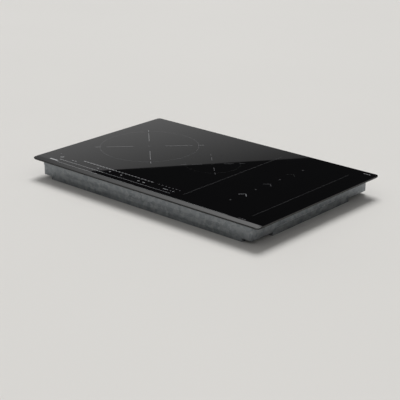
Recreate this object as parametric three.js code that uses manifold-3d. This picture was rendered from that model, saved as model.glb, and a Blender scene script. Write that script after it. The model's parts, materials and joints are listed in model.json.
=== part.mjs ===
// A built-in induction hob, 80 cm wide, as an assembly of its real pieces.
// Millimetres, +Z up, +Y to the back. The origin is at the middle of the underside of the casing.
// The hob drops into a worktop cut-out: the glass and its seal lie on the worktop, the casing hangs below.

import * as THREE from "three";
import { mergeVertices } from "three/addons/utils/BufferGeometryUtils.js";
import Module from "manifold-3d";

const wasm = await Module();
wasm.setup();

// ---------------------------------------------------------------- driving dimensions

const GLASS = { width: 800, depth: 510, thickness: 4, cornerRadius: 10, bevelWidth: 18, bevelDrop: 1.2 };
const SEAL = { thickness: 1.5, width: 8, inset: 1.5 };
// How far the glass reaches past the cut-out, and the air between the cut-out and the frame.
const CUTOUT = { underSides: 25, underEnds: 10, clearance: 4 };
const BUILT_IN_DEPTH = 50; // worktop surface to casing underside
const SHEET = 1; // steel of the casing and the frame
const FACE_GAP = 0.2; // between two faces that lie on each other
const RUNNING_GAP = 0.3; // between a turning piece and what it turns in

const FRAME = { flange: 7, skirt: 14, adhesive: 0.75, corner: 4 };
const CASING_RIM_GAP = 1.5; // casing rim to the frame's flange
const VENT = { width: 4, pitch: 9 };

const LARGE_ZONE = { x: -226, y: 31, radius: 140 };
const SMALL_ZONE = { x: 12, y: 31, radius: 75 };
const BRIDGE_ZONE = { x: 224.5, y: 3, width: 225, coils: 4, pitch: 100 };
const ZONE_TO_WINDING = 3; // printed ring to the edge of the copper
const BRIDGE_SIDE_MARGIN = 9; // printed side line to the coil's end
const COIL = { glassGap: 0.5, mica: 1, winding: 4.5, former: 3.5, eye: 22, ringGap: 7 };
const BRIDGE_COIL = { gap: 6, eyeWidth: 12 };
const FORMER_LIP = 3; // former beyond its winding
const SENSOR = { radius: 9, clearance: 1 };
const PLATE = { thickness: 1.5, margin: 2, legWidth: 20, windowRadius: 40 };

const CLAMP = { pocketWidth: 30, pocketLength: 80, pocketHeight: 9, thickness: 2, width: 16, reach: 38 };
const CLAMP_PIVOT = { fromSide: 14, fromEnd: 34, height: 4.5 };
const CLAMP_LIP = 2;
const SCREW = { shank: 2.5, head: 5, headHeight: 3, length: 12, clearance: 0.3 };
const CASING_SCREW = { shank: 1.75, head: 3.5, headHeight: 1.75, length: 4.5, clearance: 0.3 };
const CASING_SCREW_Y = 120; // from the middle of the depth

const FAN = { width: 84, height: 28, wall: 2, chamber: 38, inlet: 26, impeller: 34, hub: 13, blades: 12 };
const FAN_SHAFT = { radius: 2.5, clearance: 0.2 };
const FAN_OUTLET = { width: 34, height: 20 };
const FAN_Y = -148;
const BOARD = { thickness: 1.6, posts: 5, trayFloor: 2, trayWall: 9, wall: 2 };
const POWER_TRAY = { width: 190, depth: 236, y: 28 };
const HEATSINK = { width: 58, depth: 150, base: 4, height: 24, fins: 9, fin: 1.5 };
const FILTER_BOARD = { width: 150, depth: 150, x: -10, y: 60, feet: 4, gap: 0.3 };
const FILTER_SOCKET = { width: 60, depth: 10, height: 12, fromFront: 15 };

const TOUCH = { x: -132, width: 458, fromFront: 57, depth: 50, carrierFloor: 2, carrierHeight: 11, wall: 2 };
const TOUCH_PADS = { count: 22, radius: 4 };
const TOUCH_DISPLAYS = { count: 4, width: 26, depth: 12 };
const TOUCH_LEG = { width: 16, fromEnd: 60 };
const RIBBON = { x: 150, width: 18, thickness: 0.8, bend: 6 };

const TERMINAL = { width: 84, depth: 26, height: 24, poles: 6, wallGap: 4, floor: 4 };
const COVER = { width: 104, height: 30, thickness: 2.5, standOff: 0.6, below: 6, web: 1.5 };
const COVER_HINGE = { pin: 1.2, barrel: 2.2, length: 14, lug: 5 };
const GROMMET = { x: 96, hole: 9, flange: 12, thickness: 2, z: 24 };

// ---------------------------------------------------------------- levels and outlines worked out from them

const GLASS_Z = BUILT_IN_DEPTH + SEAL.thickness;
const FRAME_WIDTH = GLASS.width - 2 * (CUTOUT.underSides + CUTOUT.clearance);
const FRAME_DEPTH = GLASS.depth - 2 * (CUTOUT.underEnds + CUTOUT.clearance);
const FLANGE_TOP = GLASS_Z - FRAME.adhesive;
const CASING_WIDTH = FRAME_WIDTH - 2 * (SHEET + FACE_GAP);
const CASING_DEPTH = FRAME_DEPTH - 2 * (SHEET + FACE_GAP);
const CASING_TOP = FLANGE_TOP - SHEET - CASING_RIM_GAP;
const FLOOR_Z = SHEET + FACE_GAP;
const MICA_TOP = GLASS_Z - COIL.glassGap;
const WINDING_TOP = MICA_TOP - COIL.mica;
const FORMER_TOP = WINDING_TOP - COIL.winding;
const PLATE_TOP = FORMER_TOP - COIL.former;
const PLATE_Z = PLATE_TOP - PLATE.thickness;
const TOUCH_Y = TOUCH.fromFront - GLASS.depth / 2;
const BRIDGE_COIL_WIDTH = BRIDGE_ZONE.width - 2 * BRIDGE_SIDE_MARGIN;
const BRIDGE_COIL_DEPTH = BRIDGE_ZONE.pitch - BRIDGE_COIL.gap;

// ---------------------------------------------------------------- materials

function paint(color, roughness, metalness) {
  return new THREE.MeshStandardMaterial({ color, roughness, metalness });
}

const BLACK_GLASS = paint(0x08080a, 0.06, 0);
const FOAM = paint(0x1c1c1e, 0.95, 0);
const SILICONE = paint(0x2a2a2c, 0.7, 0);
const GALVANISED = paint(0xa9adb0, 0.42, 0.9);
const ALUMINIUM = paint(0xc4c7ca, 0.35, 1);
const COPPER = paint(0xb0693c, 0.45, 0.85);
const BLACK_PLASTIC = paint(0x1a1b1d, 0.55, 0);
const GREY_PLASTIC = paint(0x6f7376, 0.6, 0);
const MICA = paint(0xb9a888, 0.7, 0);
const CIRCUIT_BOARD = paint(0x23492f, 0.5, 0);
const ZINC_STEEL = paint(0xb8bcc0, 0.35, 1);
const RUBBER = paint(0x151515, 0.85, 0);
const RIBBON_GREY = paint(0x9a9da1, 0.6, 0);

// ---------------------------------------------------------------- shapes and solids

function solidOf(geometry) {
  const bare = geometry.index ? geometry.toNonIndexed() : geometry.clone();
  bare.deleteAttribute("normal");
  bare.deleteAttribute("uv");
  const merged = mergeVertices(bare, 1e-4);
  return new wasm.Manifold(
    new wasm.Mesh({
      numProp: 3,
      vertProperties: merged.attributes.position.array,
      triVerts: new Uint32Array(merged.index.array),
    }),
  );
}

function geometryOf(solid) {
  const mesh = solid.getMesh();
  const geometry = new THREE.BufferGeometry();
  geometry.setAttribute("position", new THREE.BufferAttribute(mesh.vertProperties, 3));
  geometry.setIndex(new THREE.BufferAttribute(mesh.triVerts, 1));
  return geometry;
}

function join(...geometries) {
  return geometryOf(geometries.map(solidOf).reduce((whole, next) => whole.add(next)));
}

function cut(geometry, ...tools) {
  return geometryOf(tools.map(solidOf).reduce((rest, tool) => rest.subtract(tool), solidOf(geometry)));
}

// A box whose underside is at z, centred on x and y.
function box(width, depth, height, x = 0, y = 0, z = 0) {
  return new THREE.BoxGeometry(width, depth, height).translate(x, y, z + height / 2);
}

// An upright cylinder whose underside is at z.
function cylinder(radius, height, x = 0, y = 0, z = 0, sides = 24) {
  const geometry = new THREE.CylinderGeometry(radius, radius, height, sides).rotateX(Math.PI / 2);
  return geometry.translate(x, y, z + height / 2);
}

// A ring or disc turned about Z from a profile of [radius, height] points.
function turned(profile, sides = 48) {
  const points = profile.map(([radius, height]) => new THREE.Vector2(radius, height));
  return new THREE.LatheGeometry(points, sides).rotateX(Math.PI / 2);
}

function roundedRectangle(width, depth, radius, path = new THREE.Shape()) {
  const [x, y] = [width / 2, depth / 2];
  path.moveTo(-x + radius, -y);
  path.lineTo(x - radius, -y);
  path.absarc(x - radius, -y + radius, radius, -Math.PI / 2, 0);
  path.lineTo(x, y - radius);
  path.absarc(x - radius, y - radius, radius, 0, Math.PI / 2);
  path.lineTo(-x + radius, y);
  path.absarc(-x + radius, y - radius, radius, Math.PI / 2, Math.PI);
  path.lineTo(-x, -y + radius);
  path.absarc(-x + radius, -y + radius, radius, Math.PI, Math.PI * 1.5);
  path.closePath();
  return path;
}

function roundHole(x, y, radius, sides = 24) {
  const points = Array.from({ length: sides }, (_, i) => {
    const angle = (-i * 2 * Math.PI) / sides;
    return new THREE.Vector2(x + radius * Math.cos(angle), y + radius * Math.sin(angle));
  });
  return new THREE.Path(points);
}

function discShape(radius, sides = 48) {
  return new THREE.Shape(roundHole(0, 0, radius, sides).getPoints().reverse());
}

function extruded(shape, height, z = 0, curveSegments = 6) {
  const geometry = new THREE.ExtrudeGeometry(shape, { depth: height, bevelEnabled: false, curveSegments });
  return geometry.translate(0, 0, z);
}

function roundedBox(width, depth, radius, height, z = 0) {
  return extruded(roundedRectangle(width, depth, radius), height, z, 3);
}

// A flat ring of constant width around a rounded rectangle.
function frameRing(width, depth, radius, border, height, z) {
  const shape = roundedRectangle(width, depth, radius);
  const innerRadius = Math.max(radius - border, radius / 2);
  shape.holes.push(roundedRectangle(width - 2 * border, depth - 2 * border, innerRadius, new THREE.Path()));
  return extruded(shape, height, z, 3);
}

const hob = new THREE.Group();

function add(name, geometry, material, parent = hob) {
  const mesh = new THREE.Mesh(geometry, material);
  mesh.name = name;
  parent.add(mesh);
  return mesh;
}

function groupAt(x, y, z = 0, parent = hob) {
  const group = new THREE.Group();
  group.position.set(x, y, z);
  parent.add(group);
  return group;
}

// ---------------------------------------------------------------- glass, seal and frame

function glassTop() {
  const plate = extruded(roundedRectangle(GLASS.width, GLASS.depth, GLASS.cornerRadius), GLASS.thickness);
  // The bevel falls from the cooking surface to a thin upright edge along the whole front.
  const front = -GLASS.depth / 2;
  const over = 1; // the cutter stands clear of the glass by this much
  const slope = GLASS.bevelDrop / GLASS.bevelWidth;
  const section = new THREE.Shape();
  section.moveTo(front + GLASS.bevelWidth + over / slope, GLASS.thickness + over);
  section.lineTo(front - over, GLASS.thickness + over);
  section.lineTo(front - over, GLASS.thickness - GLASS.bevelDrop - over * slope);
  section.closePath();
  const wedge = extruded(section, GLASS.width + 2 * over);
  // The section is drawn in Y and Z, so it is turned to run along X.
  wedge.rotateX(Math.PI / 2).rotateZ(Math.PI / 2).translate(-GLASS.width / 2 - over, 0, 0);
  return cut(plate, wedge);
}

function sealingGasket() {
  const width = GLASS.width - 2 * SEAL.inset;
  const depth = GLASS.depth - 2 * SEAL.inset;
  return frameRing(width, depth, GLASS.cornerRadius, SEAL.width, SEAL.thickness - FACE_GAP, 0);
}

function supportFrame() {
  const flange = frameRing(FRAME_WIDTH, FRAME_DEPTH, FRAME.corner, FRAME.flange, SHEET, -SHEET);
  const skirt = frameRing(FRAME_WIDTH, FRAME_DEPTH, FRAME.corner, SHEET, FRAME.skirt, -FRAME.skirt);
  return cut(join(flange, skirt), ...casingScrewHoles(-FLANGE_TOP));
}

function adhesiveBead() {
  const width = FRAME_WIDTH - 2 * SHEET;
  const depth = FRAME_DEPTH - 2 * SHEET;
  const height = FRAME.adhesive - 2 * FACE_GAP;
  return frameRing(width, depth, FRAME.corner - SHEET, FRAME.flange - 2 * SHEET, height, FACE_GAP);
}

// ---------------------------------------------------------------- casing

function corners() {
  return [
    { name: "front_left", sx: -1, sy: -1 },
    { name: "front_right", sx: 1, sy: -1 },
    { name: "rear_left", sx: -1, sy: 1 },
    { name: "rear_right", sx: 1, sy: 1 },
  ];
}

const CASING_SCREW_Z = FLANGE_TOP - FRAME.skirt + 5;

function casingScrewPlaces() {
  return corners().map(({ name, sx, sy }) => ({
    name,
    x: (sx * FRAME_WIDTH) / 2,
    y: sy * CASING_SCREW_Y,
    sx,
  }));
}

function casingScrewHoles(dz = 0) {
  const radius = CASING_SCREW.shank + CASING_SCREW.clearance;
  return casingScrewPlaces().map(({ x, y }) =>
    cylinder(radius, 20, 0, 0, -10, 16)
      .rotateY(Math.PI / 2)
      .translate(x, y, CASING_SCREW_Z + dz),
  );
}

// Boxes that fill the four clamp pockets, grown on their inner sides.
function clampPockets(grow, height) {
  return corners().map(({ sx, sy }) => {
    const width = CLAMP.pocketWidth + grow;
    const length = CLAMP.pocketLength + grow;
    const x = sx * (CASING_WIDTH / 2 - width / 2 + 5);
    const y = sy * (CASING_DEPTH / 2 - length / 2 + 5);
    return box(width + 10, length + 10, height + 10, x, y, -10);
  });
}

function clampPivot({ sx, sy }) {
  return [sx * (CASING_WIDTH / 2 - CLAMP_PIVOT.fromSide), sy * (CASING_DEPTH / 2 - CLAMP_PIVOT.fromEnd)];
}

// A row of parallel slots centred on x and y, cut through whatever lies between z and z + height.
function slotRow(count, length, x, y, z, height) {
  const first = (-(count - 1) * VENT.pitch) / 2;
  const middles = Array.from({ length: count }, (_, i) => x + first + i * VENT.pitch);
  return middles.map((middle) => box(VENT.width, length, height, middle, y, z));
}

// Slots under a fan whose lengths follow the circle of the fan's inlet.
function inletGrille(x, y) {
  const half = Math.floor((FAN.inlet + VENT.pitch) / VENT.pitch);
  const radius = (half + 0.7) * VENT.pitch;
  return Array.from({ length: 2 * half + 1 }, (_, i) => {
    const offset = (i - half) * VENT.pitch;
    return box(VENT.width, 2 * Math.sqrt(radius ** 2 - offset ** 2) - VENT.pitch, 6, x + offset, y, -2);
  });
}

const COVER_LEFT = -COVER.width / 2;
const COVER_Z = COVER.below;
const WINDOW = { width: COVER.width - 14, height: COVER.height - 8 };

function bottomCasing() {
  const corner = FRAME.corner - SHEET - FACE_GAP;
  const [innerWidth, innerDepth] = [CASING_WIDTH - 2 * SHEET, CASING_DEPTH - 2 * SHEET];
  const cavity = roundedBox(innerWidth, innerDepth, corner - SHEET, CASING_TOP, SHEET);
  const inside = cut(cavity, ...clampPockets(SHEET, CLAMP.pocketHeight + SHEET));
  const shell = cut(roundedBox(CASING_WIDTH, CASING_DEPTH, corner, CASING_TOP), inside);
  const rear = CASING_DEPTH / 2;
  const screwBore = SCREW.shank + SCREW.clearance;
  const openings = [
    ...clampPockets(0, CLAMP.pocketHeight),
    ...inletGrille(LARGE_ZONE.x, FAN_Y),
    ...inletGrille(BRIDGE_ZONE.x, FAN_Y),
    ...slotRow(9, 60, SMALL_ZONE.x, -60, -2, 6),
    ...corners()
      .filter(({ sy }) => sy > 0)
      .flatMap(({ sx }) => slotRow(13, 12, sx * 215, rear, 18, 18)),
    ...corners().map((corner) => cylinder(screwBore, 30, ...clampPivot(corner), -5, 16)),
    ...casingScrewHoles(),
    box(WINDOW.width, 12, WINDOW.height, 0, rear, COVER_Z + 4),
    cylinder(GROMMET.hole, 12, 0, 0, -6, 20)
      .rotateX(Math.PI / 2)
      .translate(GROMMET.x, rear, GROMMET.z),
  ];
  const pinY = rear + COVER.standOff + COVER_HINGE.barrel;
  const lugs = hingeLugs(pinY);
  return join(cut(shell, ...openings), ...lugs);
}

// Two lugs on the rear wall hold the ends of the cover's pin.
function hingeLugs(pinY) {
  const middle = COVER_Z + COVER.height / 2;
  const offset = COVER_HINGE.length / 2 + RUNNING_GAP + COVER_HINGE.lug / 2;
  const x = COVER_LEFT - COVER_HINGE.barrel;
  const depth = pinY + COVER_HINGE.barrel - CASING_DEPTH / 2 + SHEET / 2;
  return [-1, 1].map((side) => {
    const z = middle + side * offset - COVER_HINGE.lug / 2;
    const lugY = CASING_DEPTH / 2 - SHEET / 2 + depth / 2;
    const lug = box(2 * COVER_HINGE.barrel, depth, COVER_HINGE.lug, x, lugY, z);
    return cut(lug, cylinder(COVER_HINGE.pin + FACE_GAP, COVER_HINGE.lug + 2, x, pinY, z - 1, 12));
  });
}

function coverPin() {
  const length = COVER_HINGE.length + 2 * (RUNNING_GAP + COVER_HINGE.lug);
  return cylinder(COVER_HINGE.pin, length, 0, 0, -length / 2, 12);
}

// The cover in the frame of its pin: the plate runs towards +X and its inner face looks to -Y.
function terminalCover() {
  // The plate starts where the square lugs' corners can't reach it as it swings.
  const plateStart = Math.SQRT2 * COVER_HINGE.barrel + RUNNING_GAP;
  const plateX = plateStart + COVER.width / 2;
  const plateY = COVER_HINGE.barrel - COVER.thickness / 2;
  const plate = box(COVER.width, COVER.thickness, COVER.height, plateX, plateY, -COVER.height / 2);
  const barrel = cylinder(COVER_HINGE.barrel, COVER_HINGE.length, 0, 0, -COVER_HINGE.length / 2, 16);
  const webZ = -COVER_HINGE.length / 2;
  const webY = COVER_HINGE.barrel - COVER.web / 2;
  const webWidth = plateStart + 1;
  const web = box(webWidth, COVER.web, COVER_HINGE.length, webWidth / 2, webY, webZ);
  const tab = box(8, COVER.web, 12, plateX + COVER.width / 2 + 2, webY, -6);
  const bore = cylinder(COVER_HINGE.pin + RUNNING_GAP, COVER_HINGE.length + 2, 0, 0, webZ - 1, 12);
  return cut(join(plate, barrel, web, tab), bore);
}

function cableGrommet() {
  // A blind rubber grommet: two flanges either side of the sheet and a closed membrane.
  const neck = GROMMET.hole - FACE_GAP;
  const [inner, outer] = [FACE_GAP, SHEET + FACE_GAP];
  const profile = [
    [0, -GROMMET.thickness / 2],
    [neck - 2, -GROMMET.thickness / 2],
    [neck - 1, -inner - GROMMET.thickness],
    [GROMMET.flange, -inner - GROMMET.thickness],
    [GROMMET.flange, -inner],
    [neck, -inner],
    [neck, outer],
    [GROMMET.flange - 1, outer],
    [GROMMET.flange - 1, outer + GROMMET.thickness],
    [neck - 1, outer + GROMMET.thickness],
    [neck - 2, 0],
    [0, 0],
  ];
  return turned(profile, 16);
}

// ---------------------------------------------------------------- clamps and screws

function screw(size) {
  const head = cylinder(size.head, size.headHeight, 0, 0, -size.headHeight, 16);
  const recess = cylinder(size.head * 0.45, size.headHeight * 0.6, 0, 0, -size.headHeight - 0.1, 6);
  return join(cut(head, recess), cylinder(size.shank, size.length, 0, 0, -0.1, 12));
}

// The clamp in the frame of its screw: stowed, the arm points to -Y.
function worktopClamp() {
  const back = CLAMP.width / 2;
  const length = CLAMP.reach + back;
  const arm = box(CLAMP.width, length, CLAMP.thickness, 0, back - length / 2);
  const lipY = -CLAMP.reach + CLAMP.thickness / 2;
  const lip = box(CLAMP.width, CLAMP.thickness, CLAMP.thickness + CLAMP_LIP, 0, lipY);
  const bore = cylinder(SCREW.shank + SCREW.clearance, 10, 0, 0, -4, 16);
  return cut(join(arm, lip), bore);
}

function addClamps() {
  for (const corner of corners()) {
    const [x, y] = clampPivot(corner);
    const group = groupAt(x, y, CLAMP_PIVOT.height);
    const clamp = add(`worktop_clamp_${corner.name}`, worktopClamp(), ZINC_STEEL, group);
    if (corner.sy < 0) clamp.rotation.z = Math.PI;
    const bolt = add(`clamp_screw_${corner.name}`, screw(SCREW), ZINC_STEEL, group);
    bolt.position.z = -FACE_GAP;
  }
}

function addCasingScrews() {
  for (const { name, x, y, sx } of casingScrewPlaces()) {
    const bolt = add(`casing_screw_${name}`, screw(CASING_SCREW), ZINC_STEEL);
    bolt.position.set(x + sx * FACE_GAP, y, CASING_SCREW_Z);
    bolt.rotation.y = (-sx * Math.PI) / 2;
  }
}

// ---------------------------------------------------------------- coils

function ringOfCopper(inner, outer, height) {
  return turned([[inner, 0], [outer, 0], [outer, height], [inner, height], [inner, 0]], 48);
}

// A moulded disc with radial windows between its spokes, and a bore for the sensor.
function spokedFormer(radius, spokes) {
  const shape = discShape(radius);
  shape.holes.push(roundHole(0, 0, SENSOR.radius + SENSOR.clearance));
  const step = (2 * Math.PI) / spokes;
  const [inside, outside] = [COIL.eye + 6, radius - 10];
  for (let i = 0; i < spokes; i++) {
    const window = new THREE.Path();
    const middle = i * step;
    window.absarc(0, 0, outside, middle - step * 0.3, middle + step * 0.3);
    window.absarc(0, 0, inside, middle + step * 0.16, middle - step * 0.16, true);
    window.closePath();
    shape.holes.push(window);
  }
  return extruded(shape, COIL.former - FACE_GAP, FACE_GAP, 4);
}

function disc(radius, hole, height, z) {
  const shape = discShape(radius);
  shape.holes.push(roundHole(0, 0, hole));
  return extruded(shape, height, z);
}

// A silicone cap that the glass presses down on, with the probe's stem through the former.
function temperatureSensor() {
  const top = GLASS_Z - FACE_GAP - PLATE_TOP;
  return turned(
    [
      [0, FACE_GAP],
      [SENSOR.radius - 3, FACE_GAP],
      [SENSOR.radius - 3, COIL.former],
      [SENSOR.radius, COIL.former + 1],
      [SENSOR.radius, top - 1.5],
      [SENSOR.radius - 2, top],
      [0, top],
    ],
    16,
  );
}

const MICA_THICKNESS = COIL.mica - FACE_GAP;

function addLargeCoil() {
  const module = groupAt(LARGE_ZONE.x, LARGE_ZONE.y, PLATE_TOP);
  const outer = LARGE_ZONE.radius - ZONE_TO_WINDING;
  const middle = outer * 0.66;
  const height = COIL.winding - FACE_GAP;
  add("large_coil_former", spokedFormer(outer + FORMER_LIP, 8), BLACK_PLASTIC, module);
  const inner = add("large_coil_inner_winding", ringOfCopper(COIL.eye, middle, height), COPPER, module);
  inner.position.z = COIL.former + FACE_GAP;
  const outerRing = ringOfCopper(middle + COIL.ringGap, outer, height);
  add("large_coil_outer_winding", outerRing, COPPER, module).position.z = COIL.former + FACE_GAP;
  const micaZ = COIL.former + COIL.winding + FACE_GAP;
  const hole = SENSOR.radius + SENSOR.clearance;
  add("large_coil_mica", disc(outer - 1, hole, MICA_THICKNESS, micaZ), MICA, module);
  add("large_coil_sensor", temperatureSensor(), GREY_PLASTIC, module);
}

function addSmallCoil() {
  const module = groupAt(SMALL_ZONE.x, SMALL_ZONE.y, PLATE_TOP);
  const outer = SMALL_ZONE.radius - ZONE_TO_WINDING;
  add("small_coil_former", spokedFormer(outer + FORMER_LIP, 6), BLACK_PLASTIC, module);
  const winding = ringOfCopper(COIL.eye, outer, COIL.winding - FACE_GAP);
  add("small_coil_winding", winding, COPPER, module).position.z = COIL.former + FACE_GAP;
  const micaZ = COIL.former + COIL.winding + FACE_GAP;
  const hole = SENSOR.radius + SENSOR.clearance;
  add("small_coil_mica", disc(outer - 1, hole, MICA_THICKNESS, micaZ), MICA, module);
  add("small_coil_sensor", temperatureSensor(), GREY_PLASTIC, module);
}

function bridgeCoilPlaces() {
  const first = (-(BRIDGE_ZONE.coils - 1) * BRIDGE_ZONE.pitch) / 2;
  return Array.from({ length: BRIDGE_ZONE.coils }, (_, i) => first + i * BRIDGE_ZONE.pitch);
}

function bridgeFormer() {
  const [width, depth] = [BRIDGE_COIL_WIDTH + FORMER_LIP, BRIDGE_COIL_DEPTH + FORMER_LIP];
  const shape = roundedRectangle(width, depth, depth / 2 - 1);
  shape.holes.push(roundHole(0, 0, SENSOR.radius + SENSOR.clearance));
  const spread = (BRIDGE_COIL_WIDTH - BRIDGE_COIL_DEPTH) / 2;
  for (const x of [-spread, spread]) shape.holes.push(roundHole(x, 0, BRIDGE_COIL_DEPTH / 5));
  return extruded(shape, COIL.former - FACE_GAP, FACE_GAP, 6);
}

function bridgeWinding() {
  const shape = roundedRectangle(BRIDGE_COIL_WIDTH, BRIDGE_COIL_DEPTH, BRIDGE_COIL_DEPTH / 2 - 1);
  const eyeDepth = 2 * (SENSOR.radius + SENSOR.clearance);
  const border = (BRIDGE_COIL_DEPTH - eyeDepth) / 2;
  const eyeWidth = BRIDGE_COIL_WIDTH - 2 * border;
  shape.holes.push(roundedRectangle(eyeWidth, eyeDepth, eyeDepth / 2 - 1, new THREE.Path()));
  return extruded(shape, COIL.winding - FACE_GAP, 0, 6);
}

function bridgeMica() {
  const depth = (BRIDGE_ZONE.coils - 1) * BRIDGE_ZONE.pitch + BRIDGE_COIL_DEPTH;
  const shape = roundedRectangle(BRIDGE_COIL_WIDTH, depth, 8);
  for (const y of bridgeCoilPlaces()) shape.holes.push(roundHole(0, y, SENSOR.radius + SENSOR.clearance));
  return extruded(shape, MICA_THICKNESS, 0, 8);
}

function addBridgeCoils() {
  const module = groupAt(BRIDGE_ZONE.x, BRIDGE_ZONE.y, PLATE_TOP);
  bridgeCoilPlaces().forEach((y, i) => {
    const coil = groupAt(0, y, 0, module);
    add(`bridge_coil_${i + 1}_former`, bridgeFormer(), BLACK_PLASTIC, coil);
    add(`bridge_coil_${i + 1}_winding`, bridgeWinding(), COPPER, coil).position.z = COIL.former + FACE_GAP;
    add(`bridge_coil_${i + 1}_sensor`, temperatureSensor(), GREY_PLASTIC, coil);
  });
  add("bridge_mica_sheet", bridgeMica(), MICA, module).position.z = COIL.former + COIL.winding + FACE_GAP;
}

// A coil plate is one aluminium sheet with windows and four folded legs that stand on the casing's floor.
function coilPlate(width, depth, windows, legY) {
  const shape = roundedRectangle(width, depth, 4);
  for (const [x, y] of windows) shape.holes.push(roundHole(x, y, PLATE.windowRadius / 2));
  const sheet = extruded(shape, PLATE.thickness, 0, 8);
  const legHeight = PLATE_Z - FLOOR_Z + PLATE.thickness / 2;
  const legs = [-1, 1].flatMap((side) =>
    legY.map((y) => {
      const x = side * (width / 2 - PLATE.thickness / 2);
      return box(PLATE.thickness, PLATE.legWidth, legHeight, x, y, -(PLATE_Z - FLOOR_Z));
    }),
  );
  return join(sheet, ...legs);
}

function addCoilPlates() {
  const left = LARGE_ZONE.x - LARGE_ZONE.radius;
  const right = SMALL_ZONE.x + SMALL_ZONE.radius + PLATE.margin;
  const leftX = (left + right) / 2;
  const leftPlate = coilPlate(
    right - left,
    2 * LARGE_ZONE.radius + 2 * PLATE.margin,
    [LARGE_ZONE, SMALL_ZONE].map((zone) => [zone.x - leftX + 45, 0]),
    [-90, 60],
  );
  add("left_coil_plate", leftPlate, ALUMINIUM).position.set(leftX, LARGE_ZONE.y, PLATE_Z);
  const bridgeDepth = (BRIDGE_ZONE.coils - 1) * BRIDGE_ZONE.pitch + BRIDGE_COIL_DEPTH + 2 * PLATE.margin;
  const rightPlate = coilPlate(
    BRIDGE_COIL_WIDTH + FORMER_LIP + 2 * PLATE.margin,
    bridgeDepth + FORMER_LIP,
    bridgeCoilPlaces().map((y) => [40, y]),
    [-100, 100],
  );
  add("right_coil_plate", rightPlate, ALUMINIUM).position.set(BRIDGE_ZONE.x, BRIDGE_ZONE.y, PLATE_Z);
}

// ---------------------------------------------------------------- fans

function fanHousing() {
  const outer = extruded(roundedRectangle(FAN.width, FAN.width, 8), FAN.height, 0, 4);
  const inside = FAN.height - 2 * FAN.wall;
  const chamber = cylinder(FAN.chamber, inside, 0, 0, FAN.wall, 32);
  const inlet = cylinder(FAN.inlet, FAN.wall + 2, 0, 0, -1, 32);
  const outletX = FAN.chamber - FAN_OUTLET.width / 2;
  const outletZ = (FAN.height - FAN_OUTLET.height) / 2;
  const outlet = box(FAN_OUTLET.width, FAN.width, FAN_OUTLET.height, outletX, FAN.width / 2, outletZ);
  const shell = cut(outer, chamber, inlet, outlet);
  const shaftLength = inside - 3;
  const shaftZ = FAN.height - FAN.wall - shaftLength;
  return join(shell, cylinder(FAN_SHAFT.radius, shaftLength + 1, 0, 0, shaftZ, 12));
}

function fanImpeller() {
  const clearTop = 2;
  const height = FAN.height - 2 * FAN.wall - 2 * clearTop;
  const disc = cylinder(FAN.impeller, 1.5, 0, 0, height - 1.5, 32);
  const hub = cylinder(FAN.hub, height - 4, 0, 0, 4, 24);
  const length = FAN.impeller - FAN.hub - 6;
  const blades = Array.from({ length: FAN.blades }, (_, i) => {
    const blade = box(length, 1.4, height - 1, FAN.impeller - length / 2 - 0.8, 0, 0.5);
    blade.translate(-FAN.impeller + 4, 0, 0).rotateZ(0.5).translate(FAN.impeller - 4, 0, 0);
    return blade.rotateZ((i * 2 * Math.PI) / FAN.blades);
  });
  const bore = cylinder(FAN_SHAFT.radius + FAN_SHAFT.clearance, height + 4, 0, 0, -2, 12);
  return cut(join(disc, hub, ...blades), bore);
}

function addFans() {
  for (const [side, x] of [["left", LARGE_ZONE.x], ["right", BRIDGE_ZONE.x]]) {
    const group = groupAt(x, FAN_Y, FLOOR_Z);
    add(`${side}_fan_housing`, fanHousing(), BLACK_PLASTIC, group);
    add(`${side}_fan_impeller`, fanImpeller(), GREY_PLASTIC, group).position.z = FAN.wall + 2;
  }
}

// ---------------------------------------------------------------- electronics

function tray(width, depth) {
  const outer = box(width, depth, BOARD.trayWall);
  const inner = box(width - 2 * BOARD.wall, depth - 2 * BOARD.wall, BOARD.trayWall, 0, 0, BOARD.trayFloor);
  const [px, py] = [width / 2 - 8, depth / 2 - 8];
  const posts = [[-px, -py], [px, -py], [-px, py], [px, py]].map(([x, y]) =>
    cylinder(3, BOARD.posts, x, y, 1, 8),
  );
  // The side that faces the fan is open, so that air runs over the board.
  const doorway = box(FAN.width - 20, 20, BOARD.trayWall, 0, -depth / 2, BOARD.trayFloor + 0.5);
  return join(cut(outer, inner, doorway), ...posts);
}

const BOARD_Z = BOARD.posts + 1 + FACE_GAP;

// A populated circuit board. The heatsink lies beside the tall parts.
function powerBoard(width, depth) {
  const board = box(width, depth, BOARD.thickness);
  const z = BOARD.thickness - 0.2;
  const left = -width / 2;
  const parts = [
    ...[0, 1, 2].map((i) => box(30, 16, 22, left + 22, 70 - i * 24, z)),
    ...[0, 1].map((i) => cylinder(11, 24, left + 20, -22 - i * 28, z, 16)),
    box(26, 28, 20, left + 24, -88, z),
    ...[0, 1].map((i) => box(16, 28, 16, width / 2 - 14, 60 - i * 40, z)),
    box(32, 22, 18, width / 2 - 22, -40, z),
    ...[0, 1, 2, 3].map((i) => box(8, 10, 12, width / 2 - 10 - i * 12, -90, z)),
  ];
  return join(board, ...parts);
}

function heatsink() {
  const base = box(HEATSINK.width, HEATSINK.depth, HEATSINK.base);
  const step = (HEATSINK.width - HEATSINK.fin) / (HEATSINK.fins - 1);
  const fins = Array.from({ length: HEATSINK.fins }, (_, i) => {
    const x = -HEATSINK.width / 2 + HEATSINK.fin / 2 + i * step;
    return box(HEATSINK.fin, HEATSINK.depth, HEATSINK.height - HEATSINK.base + 1, x, 0, HEATSINK.base - 1);
  });
  return join(base, ...fins);
}

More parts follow.
